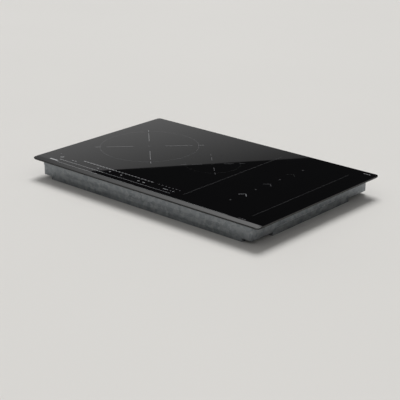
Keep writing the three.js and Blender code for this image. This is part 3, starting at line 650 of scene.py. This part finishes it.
class HOB_OT_touch_print(bpy.types.Operator):
    """Prints the touch strip at the front left, with generic marks only; the hairline along the fold is
    painted highlight, and the guide line's bright stretch is painted reflection
    """

    bl_idname = "hob.touch_print"
    bl_label = "Touch strip print"

    def execute(self, context):
        centre = middle_of("touch_carrier")
        glass_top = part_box("glass_top")[1].z
        depth = context.scene.hob_glass.print_depth
        tree = row_tree("dash_row", "GeometryNodeMeshCube")
        # The rows run along the strip: name, first x, last x, y, step, dash length and width, tone.
        rows = (
            ("slider_start", -262, -150, 13.4, 12, (8, 2.8), "print_bright"),
            ("slider_marks", -142, -3, 13.4, 12, (6.5, 1.7), "print_bright"),
            ("slider_ticks", -256, -3, 13.4, 12, (2.5, 1.2), "print_normal"),
            ("level_marks", 16, 90, 13, 12, (5, 1.2), "print_normal"),
            # The guide line is one print. Its left stretch in the bright tone is painted reflection,
            # lighter where the glass mirrors more light.
            ("guide_start", -326, -162, -18.5, 9, (7.6, 1.5), "print_bright"),
            ("guide_line", -155, 86, -18.5, 9, (7.6, 1.4), "print_normal"),
        )
        for name, first, last, above, step, (long, wide), tone in rows:
            count = int((last - first) / step) + 1
            row = grown(tree, f"touch_{name}_print", {
                "Count": count,
                "Start": (first * MM, centre.y + above * MM, glass_top - depth / 2),
                "Step": (step * MM, 0, 0),
                "Size": (long * MM, wide * MM, depth),
                "Finish": MATERIALS[tone],
            })
            finish_piece(row, "root")
        self.symbols(context, centre.y)
        return {"FINISHED"}

    def symbols(self, context, strip_y):
        enamel = Print(context)
        wide, fine, hair = 1.5 * MM, 1.1 * MM, 1.0 * MM
        y = strip_y - 3.8 * MM
        # Fields of the middle row: a pair of dashes, bars, small dots and plus signs.
        for x in (-293, -282, -194):
            enamel.bar(((x - 3.5) * MM, y), ((x + 3.5) * MM, y), wide, BRIGHT)
        enamel.bar((-185 * MM, y), (-180 * MM, y), fine, NORMAL)
        for x in (-151, -108):
            enamel.arc((x * MM, y + 2 * MM), 2 * MM, hair, tone=BRIGHT, steps=16)
        for x, width in ((-43, 1.8), (-24, 2.2), (81, 0.8)):
            enamel.bar(((x - 3.5) * MM, y), ((x + 3.5) * MM, y), width * MM, BRIGHT)
            enamel.bar((x * MM, y - 3.5 * MM), (x * MM, y + 3.5 * MM), fine, NORMAL)
        enamel.bar((45 * MM, y), (62 * MM, y), 2.8 * MM, NORMAL)
        enamel.disc((71 * MM, y), 1.3 * MM, NORMAL)
        # The on and off mark: an open ring with its stroke, over a broad field.
        power = Vector((-338 * MM, strip_y - 2 * MM))
        gap = math.radians(35)
        enamel.arc(power, 4.5 * MM, wide, math.pi / 2 + gap, 2.5 * math.pi - gap, BRIGHT, 24)
        enamel.bar(power, power + Vector((0, 7 * MM)), wide, BRIGHT)
        enamel.disc((-362 * MM, strip_y + 16 * MM), 2 * MM, NORMAL)
        field = Vector((-339 * MM, strip_y - 31.5 * MM))
        enamel.bar(field - Vector((15 * MM, 0)), field + Vector((15 * MM, 0)), 6 * MM, BRIGHT)
        # A bright hairline printed just behind the fold of the facet is painted highlight. It stands
        # for the glint along the fold. It is in the bright tone on the left, where the glass mirrors
        # more light, and in the normal tone further right.
        low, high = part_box("glass_top")
        fold = low.y + context.scene.hob_glass.facet + 1.2 * MM
        enamel.bar((-318 * MM, fold), (-160 * MM, fold), fine, BRIGHT)
        enamel.bar((-160 * MM, fold), (290 * MM, fold), fine, NORMAL)
        # Plain dashes stand at the two right-hand corners.
        marks = (
            (high.x - 67 * MM, low.y + 23 * MM, 1.5, NORMAL),
            (high.x - 28 * MM, high.y - 16 * MM, 2.2, BRIGHT),
        )
        for x, mark_y, thick, tone in marks:
            for i in range(3):
                start = Vector((x + (i * 8 - 11) * MM, mark_y))
                enamel.bar(start, start + Vector((6 * MM, 0)), thick * MM, tone)
        enamel.finish("touch_symbols_print")


# ---------------------------------------------------------------- coils


def winding_tree():
    """Geometry Nodes: a flat spiral of round wire, stretched sideways into an oval if asked."""
    tree, given = start_tree(
        "pancake_winding", Inner="Float", Outer="Float", Turns="Float", Spread="Float", Wire="Float",
        Centre="Vector",
    )
    spiral = add_node(
        tree, "GeometryNodeCurveSpiral",
        {"Resolution": 40, "Rotations": given["Turns"], "Start Radius": given["Inner"],
         "End Radius": given["Outer"], "Height": 0.0},
    )
    # Each half moves away from the middle, which leaves straight runs between two half circles.
    position = add_node(tree, "GeometryNodeInputPosition").outputs[0]
    place = add_node(tree, "ShaderNodeSeparateXYZ", {"Vector": position})
    side = add_node(tree, "ShaderNodeMath", {0: place.outputs["X"]}, operation="SIGN")
    shift = add_node(
        tree, "ShaderNodeMath", {0: side.outputs[0], 1: given["Spread"]}, operation="MULTIPLY"
    )
    offset = add_node(tree, "ShaderNodeCombineXYZ", {"X": shift.outputs[0]})
    oval = add_node(
        tree, "GeometryNodeSetPosition", {"Geometry": spiral.outputs[0], "Offset": offset.outputs[0]}
    )
    placed = add_node(
        tree, "GeometryNodeTransform", {"Geometry": oval.outputs[0], "Translation": given["Centre"]}
    )
    section = add_node(
        tree, "GeometryNodeCurvePrimitiveCircle", {"Resolution": 8, "Radius": given["Wire"]}
    )
    wire = add_node(
        tree, "GeometryNodeCurveToMesh",
        {"Curve": placed.outputs[0], "Profile Curve": section.outputs[0], "Fill Caps": True},
    )
    smooth = add_node(tree, "GeometryNodeSetShadeSmooth", {"Geometry": wire.outputs[0]})
    return end_tree(tree, smooth.outputs[0], given["Finish"])


class HOB_OT_windings(bpy.types.Operator):
    """Winds every coil from litz wire in the space of its solid ring"""

    bl_idname = "hob.windings"
    bl_label = "Coil windings"

    def execute(self, context):
        sizes = context.scene.hob_coil
        tree = winding_tree()
        eye = 22 * MM
        outer = self.half("large_coil_outer_winding").x
        first_ring = self.half("large_coil_inner_winding").x
        ring_gap = 7 * MM
        oval = self.half("bridge_coil_1_winding")
        oval_eye = 10 * MM
        windings = {
            "large_coil_inner_winding": (eye, first_ring, 0.0),
            "large_coil_outer_winding": (first_ring + ring_gap, outer, 0.0),
            "small_coil_winding": (eye, self.half("small_coil_winding").x, 0.0),
        }
        for i in range(1, 5):
            windings[f"bridge_coil_{i}_winding"] = (oval_eye, oval.y, oval.x - oval.y)
        for node, (inner, outside, spread) in windings.items():
            radius = sizes.strand / 2
            turns = (outside - inner - 2 * radius) / sizes.pitch
            coil = grown(tree, f"{node}_turns", {
                "Inner": inner + radius,
                "Outer": outside - radius,
                "Turns": turns,
                "Spread": spread,
                "Wire": radius,
                "Centre": tuple(middle_of(node)),
                "Finish": MATERIALS["copper_litz"],
            })
            finish_piece(coil, "root", [node])
        return {"FINISHED"}

    def half(self, node):
        low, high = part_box(node)
        return (high - low) / 2


# ---------------------------------------------------------------- casing, fittings and inner pieces


class HOB_OT_casing(bpy.types.Operator):
    """Gives the casing, frame and outer fittings rounded sheet and moulded edges"""

    bl_idname = "hob.casing"
    bl_label = "Casing and fittings"

    def execute(self, context):
        # node, edge radius in millimetres
        edges = {
            "bottom_casing": 0.25,
            "support_frame": 0.25,
            "terminal_cover": 0.4,
            "cable_grommet": 0.4,
            "terminal_block": 0.4,
        }
        for corner in CORNERS:
            edges[f"worktop_clamp_{corner}"] = 0.3
            edges[f"casing_screw_{corner}"] = 0.15
            edges[f"clamp_screw_{corner}"] = 0.15
        for side in ("left", "right"):
            edges[f"{side}_heatsink"] = 0.15
            edges[f"{side}_coil_plate"] = 0.15
        for i in range(1, 5):
            edges[f"bridge_coil_{i}_former"] = 0.3
        for coil in ("large_coil", "small_coil", *(f"bridge_coil_{i}" for i in range(1, 5))):
            edges[f"{coil}_sensor"] = 0.4
        edges.update({"terminal_cover_pin": 0.15, "touch_ribbon_cable": 0.15})
        for node, radius in edges.items():
            piece = softened_copy(node, f"{node}_finished", radius)
            finish_piece(piece, BODY_OF[node], [node])
        self.terminal_screws()
        return {"FINISHED"}

    def terminal_screws(self):
        """Slotted clamping screws at the bottom of the terminal block's wells."""
        low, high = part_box("terminal_block")
        poles, radius, slot = 6, 3 * MM, 0.5 * MM
        foot = high.z - 8 * MM
        bm = bmesh.new()
        for i in range(poles):
            x = low.x + (high.x - low.x) * (i + 0.5) / poles
            y = (low.y + high.y) / 2 - 2 * MM
            disc = [(math.cos(a), math.sin(a)) for a in full_turn(32)]
            prism(bm, [(x + radius * a, y + radius * b) for a, b in disc], foot, foot + 2 * MM)
            for side in (-1, 1):
                # Each half of the head ends at the slot.
                reach = math.asin(slot / radius)
                angles = [reach + (math.pi - 2 * reach) * k / 16 for k in range(17)]
                half = [(x + radius * math.cos(a), y + side * radius * math.sin(a)) for a in angles]
                prism(bm, half[::side], foot + 2 * MM, foot + 3.2 * MM)
        bmesh.ops.recalc_face_normals(bm, faces=bm.faces)
        piece = shade_crisply(piece_from(bm, "terminal_screws", [MATERIALS["zinc_steel"]]))
        finish_piece(piece, "root")


class Board:
    """One circuit board: its sheet and the parts that stand on it, placed from its middle in mm."""

    FINISHES = (
        "circuit_board", "moulded_black", "capacitor_sleeve", "aluminium_sheet", "film_box",
        "copper_litz", "ferrite", "connector_nylon", "zinc_steel",
    )
    THICK = 1.6

    def __init__(self, node, feet=0.0):
        self.node = node
        self.low, self.high = (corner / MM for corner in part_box(node))
        self.middle = (self.low + self.high) / 2
        self.bm = bmesh.new()
        self.top = self.low.z + feet + self.THICK
        size = self.high - self.low
        under = self.top - self.THICK
        self.block("circuit_board", 0, 0, size.x, size.y, self.THICK, rounding=0.15, foot=under)
        # Feet stand 10 mm in from the corners, each with a screw head above the sheet.
        for x in (-1, 1) if feet else ():
            for y in (-1, 1):
                spot = ((size.x / 2 - 10) * x, (size.y / 2 - 10) * y)
                self.turned("zinc_steel", *spot, ((3, self.low.z), (3, under + 0.1)), 12)
                self.turned("zinc_steel", *spot, ((2.6, self.top - 0.1), (2.6, self.top + 1.4)), 12)

    def block(self, finish, x, y, wide, deep, tall, rounding=0.6, foot=None):
        """A box with rounded edges."""
        foot = self.top - 0.1 if foot is None else foot
        place = Matrix.Translation(Vector((self.middle.x + x, self.middle.y + y, foot + tall / 2)) * MM)
        scale = Matrix.Diagonal((wide * MM, deep * MM, tall * MM, 1))
        made = bmesh.ops.create_cube(self.bm, size=1, matrix=place @ scale)["verts"]
        edges = {edge for vertex in made for edge in vertex.link_edges}
        for face in {face for vertex in made for face in vertex.link_faces}:
            face.material_index = self.FINISHES.index(finish)
        bmesh.ops.bevel(
            self.bm, geom=list(edges), offset=rounding * MM, segments=2, profile=0.5, affect="EDGES",
            material=self.FINISHES.index(finish),
        )

    def turned(self, finish, x, y, profile, sides=32):
        """A closed solid of revolution from (radius, height) pairs, bottom to top."""
        ray = [(math.cos(a), math.sin(a)) for a in full_turn(sides)]
        left, front = self.middle.x + x, self.middle.y + y
        rings = [[Vector((left + r * a, front + r * b, z)) for a, b in ray] for r, z in profile]
        self.swept(finish, rings, closed=False)

    def capacitor(self, x, y, radius, tall):
        """An electrolytic can: a shrunk sleeve with a crimp, and the bare lid above it."""
        foot = self.top - 0.1
        body = [(radius - 0.6, 0), (radius, 0.5), (radius, 2.2), (radius - 0.7, 2.9), (radius, 3.6)]
        body += [(radius, tall - 0.9), (radius - 0.3, tall - 0.4), (radius - 1.2, tall - 0.3)]
        self.turned("capacitor_sleeve", x, y, [(r, foot + h) for r, h in body])
        lid = ((radius - 1.3, tall - 0.8), (radius - 1.3, tall - 0.2), (radius - 1.8, tall))
        self.turned("aluminium_sheet", x, y, [(r, foot + h) for r, h in lid])

    def choke(self, x, y, reach):
        """A lying ring core with two windings and the divider between them."""
        wire = 0.9
        core = (reach - 2 * wire) * 0.36
        ring = reach - core - 2 * wire
        half_tall = core + 2 * wire
        centre = Vector((self.middle.x + x, self.middle.y + y, self.top + half_tall - 0.1))
        section = [(ring + core * math.cos(a), centre.z + core * math.sin(a)) for a in full_turn(12)]
        self.swept(
            "ferrite",
            [[Vector((centre.x + r * math.cos(b), centre.y + r * math.sin(b), z)) for r, z in section]
             for b in full_turn(36)],
            closed=True,
        )
        turns, per_turn = 11, 14
        for first in (math.radians(18), math.radians(198)):
            path = []
            for i in range(turns * per_turn + 1):
                along = first + math.radians(144) * i / (turns * per_turn)
                around = 2 * math.pi * i / per_turn
                out = ring + (core + wire) * math.cos(around)
                path.append(Vector((
                    centre.x + out * math.cos(along), centre.y + out * math.sin(along),
                    centre.z + (core + wire) * math.sin(around),
                )))
            self.wire("copper_litz", path, wire)
        self.block("moulded_black", x, y, 1.6, 2 * reach - 6, 2 * half_tall - 1, 0.3)

    def wire(self, finish, path, radius, sides=6):
        """A round wire along a path, whose section turns with the path without twisting."""
        rings = []
        across = (path[1] - path[0]).orthogonal()
        for i, point in enumerate(path):
            ahead = (path[min(i + 1, len(path) - 1)] - path[max(i - 1, 0)]).normalized()
            across = (across - ahead * across.dot(ahead)).normalized()
            upward = across.cross(ahead)
            rings.append([
                point + (across * math.cos(a) + upward * math.sin(a)) * radius for a in full_turn(sides)
            ])
        self.swept(finish, rings, closed=False)

    def swept(self, finish, rings, closed):
        """A skin over rings of points, in mm, with ends closed unless the rings meet."""
        rows = [[self.bm.verts.new(point * MM) for point in ring] for ring in rings]
        sides = len(rows[0])
        pairs = list(zip(rows, rows[1:] + rows[:1])) if closed else list(zip(rows, rows[1:]))
        faces = []
        for lower, upper in pairs:
            for i in range(sides):
                j = (i + 1) % sides
                faces.append(self.bm.faces.new((lower[i], lower[j], upper[j], upper[i])))
        if not closed:
            faces += [self.bm.faces.new(rows[0][::-1]), self.bm.faces.new(rows[-1])]
        for face in faces:
            face.material_index = self.FINISHES.index(finish)

    def pin_row(self, finish, x, y, count, step, size):
        """Equal small blocks in a row along x."""
        for i in range(count):
            self.block(finish, x + i * step, y, *size, rounding=0.2)

    def chip_row(self, x, y, count):
        """Surface-mounted parts every 4 mm."""
        self.pin_row("ferrite", x, y, count, 4, (2, 1.3, 0.8))

    def finish(self):
        bmesh.ops.recalc_face_normals(self.bm, faces=self.bm.faces)
        materials = [MATERIALS[finish] for finish in self.FINISHES]
        piece = shade_crisply(piece_from(self.bm, f"{self.node}_populated", materials))
        finish_piece(piece, "root", [self.node])


class HOB_OT_boards(bpy.types.Operator):
    """Builds the circuit boards with their capacitors, chokes, relays and connectors"""

    bl_idname = "hob.boards"
    bl_label = "Circuit boards"

    def execute(self, context):
        for side in ("left", "right"):
            self.power_board(f"{side}_power_board")
        self.filter_board()
        self.touch_board()
        return {"FINISHED"}

    def power_board(self, node):
        board = Board(node)
        left, right = board.low.x - board.middle.x, board.high.x - board.middle.x
        for i in range(3):
            board.block("film_box", left + 22, 70 - i * 24, 30, 16, 22, 1.0)
        for i in range(2):
            board.capacitor(left + 20, -22 - i * 28, 11, 24)
            board.block("moulded_black", right - 14, 60 - i * 40, 16, 28, 16, 0.8)
        board.choke(left + 24, -88, 13)
        board.block("film_box", right - 22, -40, 32, 22, 18, 1.0)
        for i in range(4):
            board.block("connector_nylon", right - 10 - i * 12, -90, 8, 10, 9, 0.5)
            board.block("zinc_steel", right - 10 - i * 12, -90, 1, 6, 12, 0.2)
        # Small chips and their rows of parts lie in the free strip beside the heatsink.
        board.block("moulded_black", right - 42, 88, 14, 14, 1.8, 0.3)
        for y in (96.5, 79.5):
            board.pin_row("zinc_steel", right - 47.5, y, 8, 1.6, (0.7, 2.6, 0.7))
        board.chip_row(left + 12, 96, 8)
        board.chip_row(left + 12, -108, 6)
        board.finish()

    def filter_board(self):
        board = Board("filter_board", feet=4)
        for x in (-40, 5):
            board.choke(x, 30, 18)
            board.block("film_box", x, -10, 34, 18, 24, 1.0)
        board.block("moulded_black", 50, 20, 26, 30, 14, 0.8)
        socket_y = board.low.y - board.middle.y + 15
        board.block("connector_nylon", 0, socket_y, 60, 10, 12, 0.6)
        board.pin_row("zinc_steel", -27, socket_y + 7, 19, 3, (0.8, 5, 1.2))
        board.chip_row(30, -20, 8)
        board.finish()

    def touch_board(self):
        board = Board("touch_board")
        wide = board.high.x - board.low.x
        reach = board.high.z - board.top
        keys, radius, row_y = 22, 4, -8
        turns, per_turn = 3, 12
        for i in range(keys):
            x = -wide / 2 + 15 + i * (wide - 30) / (keys - 1)
            # Each key is a coiled spring that presses a disc to the glass.
            path = []
            for k in range(turns * per_turn + 1):
                angle = 2 * math.pi * k / per_turn
                path.append(Vector((
                    board.middle.x + x + (radius - 1) * math.cos(angle),
                    board.middle.y + row_y + (radius - 1) * math.sin(angle),
                    board.top + 0.3 + (reach - 1.1) * k / (turns * per_turn),
                )))
            board.wire("zinc_steel", path, 0.3, sides=5)
            disc = ((radius, board.high.z - 0.6), (radius, board.high.z))
            board.turned("zinc_steel", x, row_y, disc, 20)
        for i in range(4):
            x = -wide / 2 + wide / 4 * (i + 0.5)
            board.block("moulded_black", x, 9, 26, 12, reach - 0.9, 0.5)
            board.chip_row(x + 20, 9, 6)
        board.finish()


class HOB_OT_sheet_details(bpy.types.Operator):
    """Presses stiffening beads into the casing walls and spot-welds the frame to them"""

    bl_idname = "hob.sheet_details"
    bl_label = "Beads and spot welds"

    def execute(self, context):
        low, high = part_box("bottom_casing")
        wall = (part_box("support_frame")[1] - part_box("support_frame")[0]) / 2
        frame_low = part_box("support_frame")[0].z
        bm = bmesh.new()
        # Beads stand 0.7 mm proud of the sheet: centre, half length, and the wall's normal axis.
        for z in (12 * MM, 25 * MM):
            self.bead(bm, Vector((0, low.y, z)), 285 * MM, "X")
        for x in (low.x, high.x):
            self.bead(bm, Vector((x, 0, 18.5 * MM)), 150 * MM, "Y")
        piece = piece_from(bm, "casing_beads", [MATERIALS["galvanised_steel"]])
        finish_piece(piece, "root")

        tree = row_tree("weld_row", "GeometryNodeMeshUVSphere")
        z = frame_low + 7 * MM
        across, along = 56 * MM, 54 * MM
        rows = (
            ("front", (-wall.x + 35 * MM, -wall.y, z), (across, 0, 0), 13, (2.4, 0.3, 2.4)),
            ("rear", (-wall.x + 35 * MM, wall.y, z), (across, 0, 0), 13, (2.4, 0.3, 2.4)),
            ("left", (-wall.x, -wall.y + 25 * MM, z), (0, along, 0), 9, (0.3, 2.4, 2.4)),
            ("right", (wall.x, -wall.y + 25 * MM, z), (0, along, 0), 9, (0.3, 2.4, 2.4)),
        )
        for side, start, step, count, size in rows:
            welds = grown(tree, f"spot_welds_{side}", {
                "Count": count,
                "Start": start,
                "Step": step,
                "Size": tuple(s * MM for s in size),
                "Finish": MATERIALS["galvanised_steel"],
            })
            finish_piece(welds, "root")
        return {"FINISHED"}

    def bead(self, bm, centre, reach, along):
        """A long flat pill whose outer half shows on the wall."""
        proud, half_width = 0.7 * MM, 2.6 * MM
        made = bmesh.ops.create_uvsphere(bm, u_segments=16, v_segments=12, radius=1)["verts"]
        for vertex in made:
            x, y, z = vertex.co
            pushed = x * half_width + math.copysign(reach, x) * (abs(x) > 1e-6)
            spot = Vector((pushed, y * proud, z * half_width))
            if along == "Y":
                spot = Vector((spot.y, spot.x, spot.z))
            vertex.co = centre + spot


class HOB_OT_finishes(bpy.types.Operator):
    """Gives every engineering node that still shows its own finish"""

    bl_idname = "hob.finishes"
    bl_label = "Finishes"

    def execute(self, context):
        for name, node in frame["nodes"].items():
            if node.hide_render:
                continue
            node.data.materials.clear()
            node.data.materials.append(MATERIALS[SLOT_OF[name]])
        return {"FINISHED"}


# ---------------------------------------------------------------- stage


class HOB_OT_stage(bpy.types.Operator):
    """Sets up the pale floor, the soft light and the camera"""

    bl_idname = "hob.stage"
    bl_label = "Stage"

    def execute(self, context):
        self.floor(context)
        self.studio(context)
        self.sun(context)
        self.camera(context)
        context.scene.view_settings.view_transform = "Standard"
        return {"FINISHED"}

    def floor(self, context):
        bm = bmesh.new()
        bmesh.ops.create_grid(bm, x_segments=1, y_segments=1, size=40)
        material, tree, shader, where = start_material("floor_pale_matt", 0.7)
        tone = tuple(context.scene.hob_stage.floor)
        darker = tuple(c * 0.96 for c in tone[:3]) + (1.0,)
        tint_by(tree, shader, noise_of(tree, where, 900), tone, darker)
        floor = piece_from(bm, "floor", [material], smooth=False)
        context.scene.collection.objects.link(floor)

    def studio(self, context):
        """Soft light all round: a dim dome, a low panel and a strip, each with a straight edge."""
        view = context.scene.hob_stage
        azimuth = view.azimuth
        across = (math.cos(azimuth), math.sin(azimuth), 0)
        ahead = (-math.sin(azimuth), math.cos(azimuth), 0)
        world = bpy.data.worlds.new("studio")
        world.use_nodes = True
        tree = world.node_tree
        ray = add_node(tree, "ShaderNodeTexCoord").outputs["Generated"]

        def towards(axis):
            return add_node(
                tree, "ShaderNodeVectorMath", {0: ray, 1: axis}, operation="DOT_PRODUCT"
            ).outputs["Value"]

        def ramp(value, start, end, low, high):
            return add_node(
                tree, "ShaderNodeMapRange",
                {"Value": value, "From Min": start, "From Max": end, "To Min": low, "To Max": high},
            ).outputs[0]

        def combine(operation, first, second):
            return add_node(
                tree, "ShaderNodeMath", {0: first, 1: second}, operation=operation
            ).outputs[0]

        height = towards((0, 0, 1))
        side = towards(across)
        sector = ramp(towards(ahead), 0.45, 0.7, 0, 1)
        # Ahead of the camera the dome starts high; on the other sides it comes lower.
        lowered = combine("ADD", height, ramp(sector, 0, 1, 0.26, 0))
        dome = ramp(lowered, 0.47, 0.8, view.dark, view.dome)
        # The low panel ends in a straight slanting edge and fades to the right and upwards.
        panel_edge = Vector((-0.2592, 0.1970, -0.9455))
        fade = combine("ADD", ramp(side, -0.5, 0.5, 0.63, -0.63), ramp(height, 0.2, 0.4, 0.82, -0.26))
        fade = combine("MAXIMUM", fade, 0.0)
        panel = combine("MULTIPLY", ramp(towards(panel_edge), -0.0002, 0.0002, 0, 1), fade)
        panel = combine("MULTIPLY", panel, ramp(towards(ahead), 0.3, 0.6, 0, 1))
        # A second low panel stands behind the camera, so that the glass is lit from the back too.
        rear_edge = (0.25, -0.05, -0.967)
        rear = ramp(towards(rear_edge), -0.0004, 0.0004, 0, 1)
        rear = combine("MULTIPLY", rear, ramp(side, -0.6, 0.6, 0.03, 0.3))
        rear = combine("MULTIPLY", rear, ramp(towards(ahead), -0.6, -0.3, 1, 0))
        panel = combine("ADD", panel, rear)
        # The strip stands just above what the flat glass mirrors, so only the facet shows it.
        lift = math.radians(30.8)
        strip_foot = (0, -math.sin(lift), math.cos(lift))
        strip = ramp(towards(strip_foot), -0.025, 0.025, 0, 1)
        strip = combine("MULTIPLY", strip, ramp(height, 0.56, 0.48, 0, 1))
        strip = combine("MULTIPLY", strip, sector)
        strip = combine("MULTIPLY", strip, ramp(side, 0.02, 0.014, 0, 1))
        strip = combine("MULTIPLY", strip, ramp(side, -0.17, 0.01, 0.28, 1.05))
        total = combine("ADD", combine("ADD", dome, panel), strip)
        background = tree.nodes["Background"]
        background.inputs["Color"].default_value = linear("#ffffff")
        tree.links.new(total, background.inputs["Strength"])
        context.scene.world = world

    def sun(self, context):
        data = bpy.data.lights.new("key_light", "SUN")
        data.energy = context.scene.hob_stage.key
        data.angle = math.radians(30)
        lamp = bpy.data.objects.new("key_light", data)
        lamp.rotation_euler = Vector((0.35, -0.45, -0.82)).to_track_quat("-Z", "Y").to_euler()
        context.scene.collection.objects.link(lamp)

    def camera(self, context):
        view = context.scene.hob_stage
        flat, rise = math.cos(view.elevation), math.sin(view.elevation)
        back = Vector((math.sin(view.azimuth) * flat, -math.cos(view.azimuth) * flat, rise))
        level = Vector((math.cos(view.azimuth), math.sin(view.azimuth), 0))
        upright = back.cross(level)
        right = level * math.cos(view.roll) + upright * math.sin(view.roll)
        up = upright * math.cos(view.roll) - level * math.sin(view.roll)
        low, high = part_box("glass_top")
        target = Vector(((low.x + high.x) / 2, (low.y + high.y) / 2, high.z))
        place = target + back * view.distance - level * view.aim_left - upright * view.aim_down
        data = bpy.data.cameras.new("camera")
        # A long lens: about 19.3 degrees across.
        data.sensor_width = 36
        data.lens = 105.906
        data.clip_start, data.clip_end = 0.05, 100
        camera = bpy.data.objects.new("camera", data)
        facing = Matrix((right, up, back)).transposed().to_4x4()
        camera.matrix_world = Matrix.Translation(place) @ facing
        context.scene.collection.objects.link(camera)
        context.scene.camera = camera


# ---------------------------------------------------------------- panel and registration

class HOB_PT_panel(bpy.types.Panel):
    """Lists the hob's steps and settings"""

    bl_label = "Induction Hob"
    bl_idname = "HOB_PT_panel"
    bl_space_type = "VIEW_3D"
    bl_region_type = "UI"
    bl_category = "Hob"

    def draw(self, context):
        for operator in OPERATORS:
            self.layout.operator(operator.bl_idname)
        for group in GROUPS:
            settings = getattr(context.scene, group)
            for name in settings.__annotations__:
                self.layout.prop(settings, name)


GROUPS = {
    "hob_glass": HobGlassSettings,
    "hob_print": HobPrintSettings,
    "hob_coil": HobCoilSettings,
    "hob_stage": HobStageSettings,
}
# In the order in which they run.
OPERATORS = (
    HOB_OT_stage,
    HOB_OT_glass,
    HOB_OT_zone_print,
    HOB_OT_bridge_print,
    HOB_OT_touch_print,
    HOB_OT_windings,
    HOB_OT_casing,
    HOB_OT_boards,
    HOB_OT_sheet_details,
    HOB_OT_finishes,
)


def register():
    for name, group in GROUPS.items():
        bpy.utils.register_class(group)
        setattr(bpy.types.Scene, name, bpy.props.PointerProperty(type=group))
    for operator in OPERATORS:
        bpy.utils.register_class(operator)
    bpy.utils.register_class(HOB_PT_panel)


def unregister():
    bpy.utils.unregister_class(HOB_PT_panel)
    for operator in reversed(OPERATORS):
        bpy.utils.unregister_class(operator)
    for name, group in reversed(GROUPS.items()):
        delattr(bpy.types.Scene, name)
        bpy.utils.unregister_class(group)


def main():
    register()
    MATERIALS.update(material_set())
    sizes = bpy.context.scene.hob_print
    for tone in PRINT_TONES:
        MATERIALS[f"print_{tone}"] = enamel_print(f"enamel_print_{tone}", getattr(sizes, tone))
    for operator in OPERATORS:
        getattr(bpy.ops.hob, operator.bl_idname.removeprefix("hob."))()


if __name__ == "__main__":
    main()
